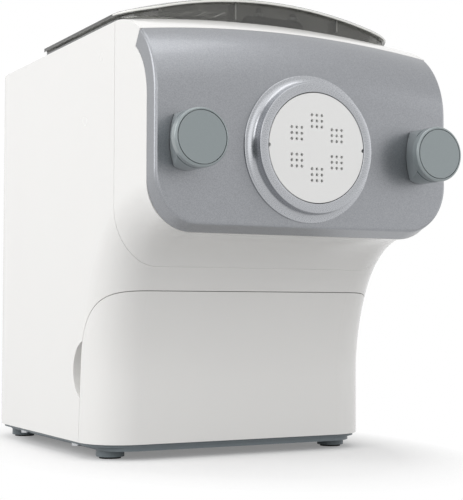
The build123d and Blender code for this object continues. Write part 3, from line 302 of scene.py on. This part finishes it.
@dataclass(frozen=True)
class Clear:
    """Tinted clear plastic."""

    name: str
    colour: Rgb
    roughness: float = 0.03
    passing: float = 0.85
    ior: float = 1.49
    ripple_scale: float = 24.0
    ripple_strength: float = 0.05
    ripple_depth: float = 0.02
    deepest: float = 0.92
    swing: float = 0.02

    def material(self) -> bpy.types.Material:
        """The finish as a material."""
        graph = Graph.named(self.name)
        ripple = graph.noise(self.ripple_scale, detail=1.0)
        base = linear(self.colour)
        deep = [c * self.deepest for c in base[:3]] + [1.0]
        return graph.shade({
            "Base Color": graph.blend(ripple, deep, base),
            "Roughness": ripple * self.swing + self.roughness,
            "Transmission Weight": self.passing,
            "IOR": self.ior,
            "Normal": graph.bump(ripple, self.ripple_strength, self.ripple_depth),
        })


@dataclass(frozen=True)
class Turned:
    """Turned or drawn metal with fine tool marks across one axis."""

    name: str
    colour: Rgb
    roughness: float = 0.28
    stretch: Point = (40.0, 1800.0, 40.0)
    darkest: float = 0.86
    swing: float = 0.16
    mark_strength: float = 0.2
    mark_depth: float = 0.02

    def material(self) -> bpy.types.Material:
        """The finish as a material."""
        graph = Graph.named(self.name)
        marks = graph.noise(1.0, detail=3.0, vector=graph.mapped((0, 0, 0), self.stretch))
        base = linear(self.colour)
        low = [c * self.darkest for c in base[:3]] + [1.0]
        return graph.shade({
            "Base Color": graph.blend(marks, low, base),
            "Metallic": 1.0,
            "Roughness": marks * self.swing + (self.roughness - self.swing / 2),
            "Normal": graph.bump(marks, self.mark_strength, self.mark_depth),
        })


@dataclass(frozen=True)
class Printed:
    """A printed circuit board: lacquer with paler copper tracks."""

    name: str
    lacquer: Rgb
    track: Rgb
    stretch: Point = (120.0, 120.0, 120.0)
    scale: float = 2.0
    track_width: float = 0.03
    roughness: float = 0.42
    swing: float = 0.1
    track_strength: float = 0.3
    track_depth: float = 0.03

    def material(self) -> bpy.types.Material:
        """The finish as a material."""
        graph = Graph.named(self.name)
        tracks = graph.make("ShaderNodeTexBrick", {"offset": 0.5}, {
            "Vector": graph.mapped((0, 0, 0), self.stretch), "Scale": self.scale,
            "Mortar Size": self.track_width})
        mask = Wire(graph, tracks.outputs["Fac"])
        return graph.shade({
            "Base Color": graph.blend(mask, linear(self.lacquer), linear(self.track)),
            "Roughness": self.roughness - mask * self.swing,
            "Normal": graph.bump(mask, self.track_strength, self.track_depth),
        })


@dataclass(frozen=True)
class Wound:
    """A wound core: copper turns along the shaft between iron plates."""

    name: str
    copper: Rgb
    iron: Rgb
    band_scale: float = 260.0
    distortion: float = 0.4
    metal: float = 0.8
    roughness: float = 0.5
    swing: float = 0.15
    turn_strength: float = 0.5
    turn_depth: float = 0.15

    def material(self) -> bpy.types.Material:
        """The finish as a material."""
        graph = Graph.named(self.name)
        wave = graph.make("ShaderNodeTexWave", {"bands_direction": "Y"}, {
            "Vector": graph.place(), "Scale": self.band_scale, "Distortion": self.distortion})
        turns = Wire(graph, wave.outputs["Fac"])
        return graph.shade({
            "Base Color": graph.blend(turns, linear(self.iron), linear(self.copper)),
            "Metallic": self.metal,
            "Roughness": self.roughness - turns * self.swing,
            "Normal": graph.bump(turns, self.turn_strength, self.turn_depth),
        })


@dataclass(frozen=True)
class Lit:
    """A small lamp behind a window."""

    name: str
    colour: Rgb
    strength: float = 1.6
    glow_scale: float = 600.0
    roughness: float = 0.4

    def material(self) -> bpy.types.Material:
        """The finish as a material."""
        graph = Graph.named(self.name)
        glow = graph.noise(self.glow_scale)
        return graph.shade({
            "Base Color": linear(self.colour),
            "Emission Color": graph.blend(glow, linear(self.colour), [1.0, 1.0, 1.0, 1.0]),
            "Emission Strength": self.strength,
            "Roughness": self.roughness,
        })


class Finishes:
    """Every finish of the machine, made once."""

    def __init__(self) -> None:
        """Makes the materials."""
        self.white = Moulded("white_gloss", (240, 239, 237), 0.26, coat=0.35, skin_depth=0.006,
                             mottle=0.012).material()
        self.disc = Moulded("white_disc", (246, 246, 245), 0.45, skin_depth=0.01, mottle=0.015).material()
        self.silver = Flake("silver_paint", (148, 150, 154), flake_scale=2600.0, spread=0.12).material()
        self.ring = Flake("silver_ring", (172, 174, 178), roughness=0.28).material()
        self.knob = Flake("knob_grey", (138, 147, 149), metal=0.30, spread=0.04, coat=0.7).material()
        self.smoke = Clear("smoky_lid", (150, 150, 146)).material()
        # Opaque grey of the lid's ribs: painted highlight, so the ribs show as pale lines.
        self.rib_highlight = Moulded("lid_rib_painted_highlight", (126, 126, 122), 0.30, skin_depth=0.004).material()
        # Pale colour of the lid's edge bead: a painted highlight along the lid's front edge.
        self.edge = Moulded("lid_edge_painted_highlight", (238, 238, 234), 0.18, coat=0.6, skin_depth=0.002).material()
        self.grip = Moulded("grip_smoke", (44, 44, 43), 0.22, coat=0.3).material()
        self.tub = Clear("clear_tub", (150, 152, 152), roughness=0.12, passing=0.55).material()
        self.base = Moulded("base_grey", (112, 121, 126), 0.48).material()
        # Also used for the dark crosses on the cover screws, as painted shade in their recesses.
        self.rubber = Moulded("pad_rubber", (26, 26, 27), 0.78, skin_depth=0.06, mottle=0.2).material()
        self.seal = Moulded("seal_rubber", (206, 206, 200), 0.62, skin_depth=0.03).material()
        self.nylon = Moulded("nylon_parts", (226, 224, 214), 0.42, skin_depth=0.02).material()
        self.inner = Moulded("inner_moulding", (74, 76, 78), 0.55, skin_depth=0.05).material()
        self.motor = Moulded("motor_enamel", (82, 85, 89), 0.36, coat=0.2, skin_depth=0.04).material()
        self.control = Moulded("control_panel", (40, 41, 43), 0.20, coat=0.5, skin_depth=0.004).material()
        self.button = Moulded("button_grey", (176, 178, 181), 0.40, skin_depth=0.01).material()
        self.window = Moulded("window_black", (12, 12, 14), 0.08, coat=0.8, skin_depth=0.002).material()
        self.mark = Moulded("button_mark", (60, 62, 64), 0.5).material()
        self.steel = Turned("turned_steel", (196, 198, 201)).material()
        self.brass = Turned("turned_brass", (214, 176, 104), 0.32).material()
        self.board = Printed("printed_board", (24, 84, 48), (104, 142, 84)).material()
        self.wound = Wound("wound_rotor", (184, 108, 62), (70, 68, 66)).material()
        self.light = Lit("display_light", (226, 238, 246)).material()

    def by_node(self) -> dict[str, bpy.types.Material]:
        """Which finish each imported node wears."""
        groups = [
            (self.white, ["main_housing", "front_frame", "rear_cover", "drawer_front"]),
            (self.silver, ["front_panel"]),
            (self.ring, ["die_ring"]),
            (self.knob, ["knob_left", "knob_right", "knob_cap_left", "knob_cap_right"]),
            (self.disc, ["shaping_disc"]),
            (self.smoke, ["lid_shell"]),
            (self.grip, ["lid_grip"]),
            (self.tub, ["mixing_chamber"]),
            (self.base, ["base_plate", "feet"]),
            (self.rubber, ["foot_pads"]),
            (self.seal, ["tube_seal", "shaft_seal"]),
            (self.steel, ["knob_stud_left", "knob_stud_right", "knob_washer_left", "knob_washer_right",
                          "hinge_pins", "drive_shaft", "idler_shaft", "foot_screws", "base_screws",
                          "cover_screws", "gearbox_screws"]),
            (self.brass, ["knob_insert_left", "knob_insert_right", "front_bush", "rear_bush"]),
            (self.nylon, ["output_gear", "idler_gear", "motor_pinion", "stirring_paddle", "auger",
                          "extrusion_tube"]),
            (self.inner, ["chassis", "drawer_tray", "gear_case", "gear_cover", "cooling_fan", "lid_switch",
                          "cord_gland"]),
            (self.motor, ["motor_can", "motor_bracket"]),
            (self.wound, ["rotor"]),
            (self.board, ["power_board", "control_board"]),
            (self.control, ["control_bezel"]),
            (self.button, ["power_button", "portion_button", "extrude_button", "start_button"]),
            (self.window, ["display_window"]),
        ]
        return {node: finish for finish, nodes in groups for node in nodes}


# ------------------------------------------------------------------ mesh building
class Form:
    """A mesh in the making, in millimetres."""

    def __init__(self) -> None:
        """Starts empty."""
        self.bm = bmesh.new()

    def block(self, low: Point, high: Point) -> "Form":
        """Adds a box between two corners."""
        size = Vector(high) - Vector(low)
        centre = (Vector(high) + Vector(low)) / 2
        place = Matrix.Translation(centre) @ Matrix.Diagonal((*size, 1.0))
        bmesh.ops.create_cube(self.bm, size=1.0, matrix=place)
        return self

    def lathe(self, profile: Sequence[tuple[float, float]], centre: Point, axis: Point,
              steps: int = 96) -> "Form":
        """Adds a closed turned shape.

        Args:
            profile: (radius, distance along the axis) points of a closed outline.
            centre: A point on the axis, from which the distances count.
            axis: Unit vector of the axis.
            steps: Number of flats round the turn.

        Returns:
            This form.
        """
        along = Vector(axis)
        side = along.orthogonal().normalized()
        made = [self.bm.verts.new(Vector(centre) + side * r + along * d) for r, d in profile]
        edges = [self.bm.edges.new((a, b)) for a, b in zip(made, made[1:] + made[:1])]
        bmesh.ops.spin(self.bm, geom=made + edges, cent=centre, axis=axis, angle=math.tau, steps=steps,
                       use_merge=True, use_normal_flip=False, use_duplicate=False)
        bmesh.ops.remove_doubles(self.bm, verts=self.bm.verts, dist=1e-5)
        return self

    def sweep(self, corners: Sequence[Point], centre: Point, axis: Point, angle: float,
              steps: int) -> "Form":
        """Adds a flat outline swept part of the way round an axis, closed at both ends."""
        face = self.bm.faces.new([self.bm.verts.new(c) for c in corners])
        geometry = [face, *face.edges, *face.verts]
        bmesh.ops.spin(self.bm, geom=geometry, cent=centre, axis=axis, angle=angle, steps=steps,
                       use_merge=False, use_normal_flip=False, use_duplicate=False)
        return self

    def tube(self, path: Sequence[Point], radius: float, sides: int = 10) -> "Form":
        """Adds a round bar along a path, closed at both ends.

        Args:
            path: Points along the middle of the bar.
            radius: The bar's radius.
            sides: Number of flats round the bar.

        Returns:
            This form.
        """
        points = [Vector(p) for p in path]
        last = len(points) - 1
        before: list[bmesh.types.BMEdge] = []
        for i, point in enumerate(points):
            ahead = (points[min(i + 1, last)] - points[max(i - 1, 0)]).normalized()
            side = ahead.cross(Vector((0.0, 0.0, 1.0))).normalized()
            turn = Matrix((side, side.cross(ahead), -ahead)).transposed().to_4x4()
            made = bmesh.ops.create_circle(self.bm, cap_ends=i in (0, last), segments=sides, radius=radius,
                                           matrix=Matrix.Translation(point) @ turn)
            edges = list({edge for vert in made["verts"] for edge in vert.link_edges})
            if before:
                bmesh.ops.bridge_loops(self.bm, edges=before + edges)
            before = edges
        return self

    def soften(self, width: float, segments: int = 3) -> "Form":
        """Rounds every sharp edge."""
        bmesh.ops.recalc_face_normals(self.bm, faces=self.bm.faces)
        edges = [e for e in self.bm.edges if len(e.link_faces) == 2 and e.calc_face_angle() > SHARP]
        bmesh.ops.bevel(self.bm, geom=edges, offset=width, segments=segments, profile=0.5,
                        affect="EDGES", material=-1, clamp_overlap=True)
        return self

    def piece(self, name: str, material: bpy.types.Material, ride: Ride, slot: Slot) -> bpy.types.Object:
        """Ends the mesh as a piece of the machine.

        Args:
            name: The piece's name.
            material: Its finish.
            ride: The body that it moves with.
            slot: The record's finish that it would take after; not used.

        Returns:
            The new object.
        """
        bmesh.ops.recalc_face_normals(self.bm, faces=self.bm.faces)
        bmesh.ops.scale(self.bm, vec=(MM, MM, MM), verts=self.bm.verts)
        mesh = bpy.data.meshes.new(name)
        self.bm.to_mesh(mesh)
        self.bm.free()
        for polygon in mesh.polygons:
            polygon.use_smooth = True
        mesh.set_sharp_from_angle(angle=SHARP)
        mesh.materials.append(material)
        obj = bpy.data.objects.new(name, mesh)
        bpy.context.scene.collection.objects.link(obj)
        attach(obj, ride.value)
        log.info("%s: %d faces, rides on %s", name, len(mesh.polygons), ride.value)
        return obj


# ------------------------------------------------------------------ sub-assemblies
@dataclass
class DieRing:
    """The silver ring round the shaping disc, with the hollow flare at its foot."""

    finish: bpy.types.Material
    axis_z: float = 201.4
    bore_r: float = 35.2
    lip_r: float = 41.2
    flare_r: float = 4.6
    foot_r: float = 47.0
    face_y: float = -159.8
    crest_y: float = -150.6
    seat_y: float = -149.75
    edge_r: float = 0.5
    flare_steps: int = 10
    turn_steps: int = 160

    def build(self) -> None:
        """Turns the ring and rounds its edges."""
        middle_r = self.lip_r + self.flare_r
        middle_y = self.crest_y - self.flare_r
        turns = [math.radians(90.0) * i / self.flare_steps for i in range(self.flare_steps + 1)]
        hollow = [(middle_r - self.flare_r * math.cos(t), middle_y + self.flare_r * math.sin(t))
                  for t in turns]
        profile = [(self.bore_r, self.face_y), (self.lip_r, self.face_y), *hollow,
                   (self.foot_r, self.crest_y), (self.foot_r, self.seat_y), (self.bore_r, self.seat_y)]
        form = Form().lathe(profile, (0, 0, self.axis_z), (0, 1, 0), self.turn_steps)
        form.soften(self.edge_r, segments=3)
        ring = form.piece("die_ring_turned", self.finish, Ride.PANEL, Slot.SILVER)
        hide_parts("die_ring")


@dataclass
class LidTrim:
    """Fine parts of the smoky lid: its edge bead and stiffening ribs, pale as painted highlight, and the
    sleeves of the grip's posts.
    """

    finishes: Finishes
    arch_r: float = 317.8
    apex_z: float = 309.3
    half_width: float = 104.0
    front_y: float = -102.0
    corner_r: float = 25.0
    droop: float = 3.5
    droop_length: float = 27.0
    bead_r: float = 0.75
    bead_drop: float = 1.0
    corner_steps: int = 16
    front_steps: int = 64
    edge_r: float = 0.25
    wall_y: float = -100.1
    floor_z: float = 291.6
    rib_x: tuple[float, ...] = (-81.6, -26.2, 53.2)
    rib_width: float = 1.1
    rib_depth: float = 11.3
    roof: float = 2.3
    post_x: tuple[float, ...] = (3.8, 30.6)
    post_y: float = -77.0
    post_r: float = 2.45
    sleeve_r: float = 3.3
    sleeve_z: float = 301.0
    sleeve_height: float = 2.4

    def build(self) -> None:
        """Makes all of the trim."""
        self.bead()
        self.ribs()
        self.sleeves()

    def top_z(self, x: float, y: float) -> float:
        """Height of the lid's upper face above a point of its plan."""
        droop_r = (self.droop_length ** 2 + self.droop ** 2) / (2 * self.droop)
        reach = max(0.0, self.front_y + self.droop_length - y)
        sag = droop_r - math.sqrt(droop_r ** 2 - reach ** 2)
        return self.apex_z - self.arch_r + math.sqrt((self.arch_r - sag) ** 2 - x ** 2)

    def bead(self) -> None:
        """The rounded bead along the front of the top and round both corners, pale as a painted highlight of
        the edge.
        """
        inner = self.half_width - self.corner_r
        corner_y = self.front_y + self.corner_r
        quarter = [math.radians(90.0) * i / self.corner_steps for i in range(self.corner_steps + 1)]
        right = [(inner + self.corner_r * math.sin(t), corner_y - self.corner_r * math.cos(t))
                 for t in quarter]
        front = [(-inner + 2 * inner * i / self.front_steps, self.front_y)
                 for i in range(1, self.front_steps)]
        left = [(-x, y) for x, y in reversed(right)]
        path = [(x, y, self.top_z(x, y) - self.bead_drop) for x, y in left + front + right]
        Form().tube(path, self.bead_r).piece("lid_edge_highlight_bead", self.finishes.edge, Ride.LID, Slot.SMOKE)

    def ribs(self) -> None:
        """Upright ribs behind the lid's front wall, in an opaque grey that paints their highlight, so they
        show as pale lines.
        """
        form = Form()
        for x in self.rib_x:
            under = self.top_z(x, self.wall_y) - self.roof
            form.block((x - self.rib_width / 2, self.wall_y, self.floor_z),
                       (x + self.rib_width / 2, self.wall_y + self.rib_depth, under))
        form.soften(self.edge_r, segments=2)
        form.piece("lid_ribs", self.finishes.rib_highlight, Ride.LID, Slot.SMOKE)

    def sleeves(self) -> None:
        """Bright sleeves round the two posts that the grip hangs from."""
        form = Form()
        high = self.sleeve_height
        profile = [(self.post_r, 0.0), (self.sleeve_r, 0.0), (self.sleeve_r, high), (self.post_r, high)]
        for x in self.post_x:
            form.lathe(profile, (x, self.post_y, self.sleeve_z), (0, 0, 1), steps=32)
        form.soften(self.edge_r, segments=2)
        form.piece("grip_post_sleeves", self.finishes.steel, Ride.LID, Slot.STEEL)


@dataclass
class ButtonRow:
    """Raised rims and marks for the row of push buttons, and the display's digits."""

    finishes: Finishes
    centre_z: float = 228.0
    face_x: float = 107.3
    radius: float = 6.2
    places: tuple[float, ...] = (-42.0, -25.0, -8.0, 9.0)
    rides: tuple[Ride, ...] = (Ride.POWER, Ride.PORTION, Ride.EXTRUDE, Ride.START)
    rim_width: float = 1.1
    rim_slope: float = 0.2
    rim_rise: float = 0.12
    rim_depth: float = 0.4
    rim_edge_r: float = 0.1
    mark_r: float = 2.3
    mark_sink: float = 0.2
    mark_rise: float = 0.1
    line: float = 0.55
    ring_start: float = 35.0
    ring_turn: float = 290.0
    stem_rise: float = 1.5
    stem_length: float = 2.2
    bar_pitch: float = 1.4
    bar_width: float = 0.77
    bar_heights: tuple[float, ...] = (1.6, 2.8, 4.0)
    strand_length: float = 4.2
    digit_y: float = 22.6
    digit_pitch: float = 6.4
    digit_half_y: float = 1.9
    digit_half_z: float = 4.0
    stroke_width: float = 0.6
    stroke_length: float = 3.0

    def build(self) -> None:
        """Makes each button's rim and mark, then the digits."""
        drawings: tuple[Callable[[Form, float], Form], ...] = (
            self.power_mark, self.portion_mark, self.extrude_mark, self.start_mark)
        inner = self.radius - self.rim_width
        rim = [(self.radius, -self.rim_depth), (self.radius, self.rim_rise), (inner, self.rim_rise),
               (inner - self.rim_slope, -self.rim_depth)]
        for y, ride, draw in zip(self.places, self.rides, drawings):
            form = Form().lathe(rim, (self.face_x, y, self.centre_z), (1, 0, 0), steps=48)
            form.soften(self.rim_edge_r, segments=2)
            form.piece(ride.value + "_button_rim", self.finishes.button, ride, Slot.BUTTON)
            draw(Form(), y).piece(ride.value + "_button_mark", self.finishes.mark, ride, Slot.DARK)
        self.digits()

    def bar(self, form: Form, y: float, z: float, long_y: float, long_z: float) -> Form:
        """One raised bar of a mark, centred on (y, z)."""
        return form.block((self.face_x - self.mark_sink, y - long_y / 2, z - long_z / 2),
                          (self.face_x + self.mark_rise, y + long_y / 2, z + long_z / 2))

    def power_mark(self, form: Form, y: float) -> Form:
        """An open ring with an upright bar."""
        inner, outer = self.mark_r - self.line, self.mark_r
        low, high = self.face_x - self.mark_sink, self.face_x + self.mark_rise
        start = Matrix.Rotation(math.radians(self.ring_start), 3, "X")
        outline = ((low, inner), (high, inner), (high, outer), (low, outer))
        corners = [start @ Vector((x, 0, r)) + Vector((0, y, self.centre_z)) for x, r in outline]
        form.sweep([tuple(c) for c in corners], (0, y, self.centre_z), (1, 0, 0),
                   math.radians(self.ring_turn), steps=28)
        return self.bar(form, y, self.centre_z + self.stem_rise, self.line, self.stem_length)

    def portion_mark(self, form: Form, y: float) -> Form:
        """Three bars that grow, for the amount."""
        foot = self.centre_z - max(self.bar_heights) / 2
        for i, tall in enumerate(self.bar_heights):
            self.bar(form, y + (i - 1) * self.bar_pitch, foot + tall / 2, self.bar_width, tall)
        return form

    def extrude_mark(self, form: Form, y: float) -> Form:
        """Three level strands."""
        for i in range(3):
            self.bar(form, y, self.centre_z + (i - 1) * self.bar_pitch, self.strand_length, self.line)
        return form

    def start_mark(self, form: Form, y: float) -> Form:
        """A triangle that points forward."""
        middle = Vector((self.face_x + (self.mark_rise - self.mark_sink) / 2, y, self.centre_z))
        place = Matrix.Translation(middle) @ Matrix.Rotation(math.radians(90.0), 4, "Y")
        bmesh.ops.create_cone(form.bm, cap_ends=True, segments=3, radius1=self.mark_r,
                              radius2=self.mark_r, depth=self.mark_sink + self.mark_rise, matrix=place)
        return form

    def digits(self) -> None:
        """Two lit seven-bar digits in the display window."""
        shapes = {"1": "bc", "5": "acdfg"}
        wide, tall = self.digit_half_y, self.digit_half_z
        level = (self.stroke_length, self.stroke_width)
        upright = (self.stroke_width, self.stroke_length)
        bars = {"a": (0.0, tall, level), "g": (0.0, 0.0, level), "d": (0.0, -tall, level),
                "b": (wide, tall / 2, upright), "c": (wide, -tall / 2, upright),
                "f": (-wide, tall / 2, upright)}
        form = Form()
        for place, digit in enumerate("15"):
            y = self.digit_y + place * self.digit_pitch
            for key in shapes[digit]:
                across, rise, (long_y, long_z) = bars[key]
                self.bar(form, y + across, self.centre_z + rise, long_y, long_z)
        form.piece("display_digits", self.finishes.light, Ride.BASE, Slot.WINDOW)


@dataclass
class Underside:
    """Grooved rings on the rubber pads, which grip the worktop."""

    finishes: Finishes
    foot_x: float = 87.5
    foot_y: tuple[float, float] = (-36.7, 137.0)
    ring_r: tuple[float, ...] = (3.2, 5.4)
    ring_width: float = 0.8
    low_z: float = 0.05
    high_z: float = 0.6

    def build(self) -> None:
        """Makes the rings of all four pads."""
        form = Form()
        for x in (-self.foot_x, self.foot_x):
            for y in self.foot_y:
                for r in self.ring_r:
                    outer = r + self.ring_width
                    band = [(r, 0.0), (outer, 0.0), (outer, self.high_z), (r, self.high_z)]
                    form.lathe(band, (x, y, self.low_z), (0, 0, 1), steps=40)
        form.piece("pad_rings", self.finishes.rubber, Ride.BASE, Slot.INNER)


@dataclass
class RearTrim:
    """Dust mesh behind the vents, and dark crosses painted as shade in the screws' recesses."""

    finishes: Finishes
    vent_z: float = 72.4
    half_x: float = 36.0
    half_z: float = 31.0
    mesh_y: float = 168.0
    cells: int = 30
    screws: tuple[tuple[float, float], ...] = ((-44, 24), (44, 24), (-44, 268), (44, 268))
    head_y: float = 170.5
    wire: float = 0.36
    cross_long: float = 3.4
    cross_short: float = 0.8
    cross_sink: float = 0.3
    cross_rise: float = 0.06

    def build(self) -> None:
        """Makes both."""
        self.dust_mesh()
        self.recesses()

    def dust_mesh(self) -> None:
        """A fine net of wires behind the slots."""
        form = Form()
        half = self.wire / 2
        front_y = self.mesh_y - self.wire
        low_z, high_z = self.vent_z - self.half_z, self.vent_z + self.half_z
        for i in range(self.cells + 1):
            x = -self.half_x + 2 * self.half_x * i / self.cells
            form.block((x - half, front_y, low_z), (x + half, self.mesh_y, high_z))
            z = low_z + 2 * self.half_z * i / self.cells
            form.block((-self.half_x, front_y, z - half), (self.half_x, self.mesh_y, z + half))
        form.piece("vent_dust_mesh", self.finishes.inner, Ride.BASE, Slot.INNER)

    def recesses(self) -> None:
        """Dark crosses on the cover's screw heads, standing in as painted shade in their recesses."""
        form = Form()
        low_y, high_y = self.head_y - self.cross_sink, self.head_y + self.cross_rise
        arms = ((self.cross_long, self.cross_short), (self.cross_short, self.cross_long))
        for x, z in self.screws:
            for wide, tall in arms:
                form.block((x - wide / 2, low_y, z - tall / 2), (x + wide / 2, high_y, z + tall / 2))
        # Dark rubber crosses: painted shade in the recesses, not a finish of the screws.
        form.piece("cover_screw_recess_shade", self.finishes.rubber, Ride.BASE, Slot.STEEL)


# ------------------------------------------------------------------ studio
@dataclass(frozen=True)
class Softbox:
    """One large soft lamp that looks at a point. Lengths are in metres and the power in watts."""

    name: str
    place: Point
    size: tuple[float, float]
    power: float
    target: Point = (0.0, 0.0, 0.16)

    def build(self) -> None:
        """Hangs the lamp."""
        data = bpy.data.lights.new(self.name, "AREA")
        data.shape = "RECTANGLE"
        data.size, data.size_y = self.size
        data.energy = self.power
        lamp = bpy.data.objects.new(self.name, data)
        lamp.location = self.place
        lamp.rotation_mode = "QUATERNION"
        lamp.rotation_quaternion = (Vector(self.target) - Vector(self.place)).to_track_quat("-Z", "Y")
        bpy.context.scene.collection.objects.link(lamp)


@dataclass
class Studio:
    """The floor, the white surround, the lamps and the camera.

    Lengths are in metres, but the lens and the sensor are in millimetres. Angles are in degrees.
    """

    lamps: tuple[Softbox, ...] = (
        Softbox("overhead_box", (-0.10, -0.20, 1.35), (1.1, 0.5), 2.6),
        Softbox("top_box", (-0.10, -0.75, 1.20), (1.3, 0.8), 1.6),
        Softbox("side_box", (-1.35, 0.10, 0.75), (1.2, 1.1), 9.3),
        Softbox("front_box", (-0.55, -1.50, 0.60), (1.4, 1.0), 3.9),
        Softbox("right_box", (1.50, -0.95, 0.50), (1.0, 1.0), 2.5),
    )
    camera_place: Point = (-0.4279, -0.8455, 0.1003)
    yaw: float = 28.15
    pitch: float = 2.61
    roll: float = 0.11
    lens: float = 92.9
    sensor_width: float = 36.0
    world_strength: float = 0.60
    floor_dull: float = 0.50
    floor_pale: float = 0.92
    floor_glow: float = 0.22
    footprint: tuple[float, float] = (0.107, 0.168)
    fade_start: float = 1.10
    fade_length: float = 0.45
    floor_half: float = 12.0

    def build(self) -> None:
        """Sets up the whole studio."""
        bpy.context.scene.view_settings.view_transform = "Standard"
        self.surround()
        self.floor()
        for lamp in self.lamps:
            lamp.build()
        self.camera()

    def seen_directly(self, graph: Graph) -> Wire:
        """1 for the rays that should meet plain white: camera, mirror and glass rays."""
        path = graph.make("ShaderNodeLightPath", {}, {})
        kinds = ("Is Camera Ray", "Is Glossy Ray", "Is Transmission Ray")
        rays = [Wire(graph, path.outputs[kind]) for kind in kinds]
        return (rays[0] + rays[1] + rays[2]) > 0.5

    def surround(self) -> None:
        """A white world for the camera, and a plain even light for the machine."""
        world = bpy.data.worlds.new("surround")
        bpy.context.scene.world = world
        graph = Graph(world)
        seen = self.seen_directly(graph)
        strength = seen * (1.0 - self.world_strength) + self.world_strength
        back = graph.make("ShaderNodeBackground", {}, {"Color": (1.0, 1.0, 1.0, 1.0), "Strength": strength})
        graph.make("ShaderNodeOutputWorld", {}, {"Surface": Wire(graph, back.outputs[0])})

    def far_share(self, graph: Graph) -> Wire:
        """0 near the machine, rising to 1 where the floor should end in plain white.

        The distance counts in half sizes of the machine's footprint, so the fade follows its shape.
        """
        half_x, half_y = self.footprint
        place = graph.mapped((0.0, 0.0, 0.0), (1.0 / half_x, 1.0 / half_y, 1.0))
        away = graph.make("ShaderNodeVectorMath", {"operation": "LENGTH"}, {0: place})
        grown = (Wire(graph, away.outputs["Value"]) - self.fade_start) * (1.0 / self.fade_length)
        limited = graph.make("ShaderNodeClamp", {}, {0: grown})
        return Wire(graph, limited.outputs[0])

    def floor(self) -> None:
        """A floor that looks white and keeps the machine's shadow, but throws light up as a grey one does."""
        graph = Graph.named("pale_floor")
        seen = self.seen_directly(graph)
        dull = graph.make("ShaderNodeBsdfDiffuse", {}, {"Color": (*[self.floor_dull] * 3, 1.0)})
        pale = graph.make("ShaderNodeBsdfDiffuse", {}, {"Color": (*[self.floor_pale] * 3, 1.0)})
        white = graph.make("ShaderNodeEmission", {}, {"Color": (1.0, 1.0, 1.0, 1.0)})
        lifted = graph.mix(self.far_share(graph) * (1.0 - self.floor_glow) + self.floor_glow, pale, white)
        both = graph.mix(seen, dull, lifted)
        graph.make("ShaderNodeOutputMaterial", {}, {"Surface": Wire(graph, both.outputs[0])})
        bm = bmesh.new()
        bmesh.ops.create_grid(bm, x_segments=1, y_segments=1, size=self.floor_half)
        mesh = bpy.data.meshes.new("floor")
        bm.to_mesh(mesh)
        bm.free()
        mesh.materials.append(graph.owner)
        plane = bpy.data.objects.new("floor", mesh)
        bpy.context.scene.collection.objects.link(plane)

    def camera(self) -> None:
        """Places the camera by its yaw from +Y towards +X, its pitch and its roll."""
        yaw, pitch, roll = (math.radians(v) for v in (self.yaw, self.pitch, self.roll))
        ahead = Vector((math.sin(yaw) * math.cos(pitch), math.cos(yaw) * math.cos(pitch), math.sin(pitch)))
        right = Vector((math.cos(yaw), -math.sin(yaw), 0.0))
        up = right.cross(ahead)
        tilted_right = right * math.cos(roll) + up * math.sin(roll)
        tilted_up = up * math.cos(roll) - right * math.sin(roll)
        turn = Matrix((tilted_right, tilted_up, -ahead)).transposed()
        data = bpy.data.cameras.new("camera")
        data.lens = self.lens
        data.sensor_width = self.sensor_width
        data.sensor_fit = "AUTO"
        camera = bpy.data.objects.new("camera", data)
        camera.matrix_world = Matrix.Translation(self.camera_place) @ turn.to_4x4()
        bpy.context.scene.collection.objects.link(camera)
        bpy.context.scene.camera = camera


def dress_nodes(nodes: dict[str, bpy.types.Object], finishes: Finishes) -> None:
    """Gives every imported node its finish."""
    wear = finishes.by_node()
    for name, obj in nodes.items():
        obj.data.materials.clear()
        obj.data.materials.append(wear[name])


def main() -> None:
    """Builds the dressed machine in order."""
    logging.basicConfig(level=logging.INFO, format="%(name)s: %(message)s")
    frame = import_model()
    Studio().build()
    finishes = Finishes()
    dress_nodes(frame["nodes"], finishes)
    DieRing(finishes.ring).build()
    for part in (LidTrim, ButtonRow, Underside, RearTrim):
        part(finishes).build()


if __name__ == "__main__":
    main()
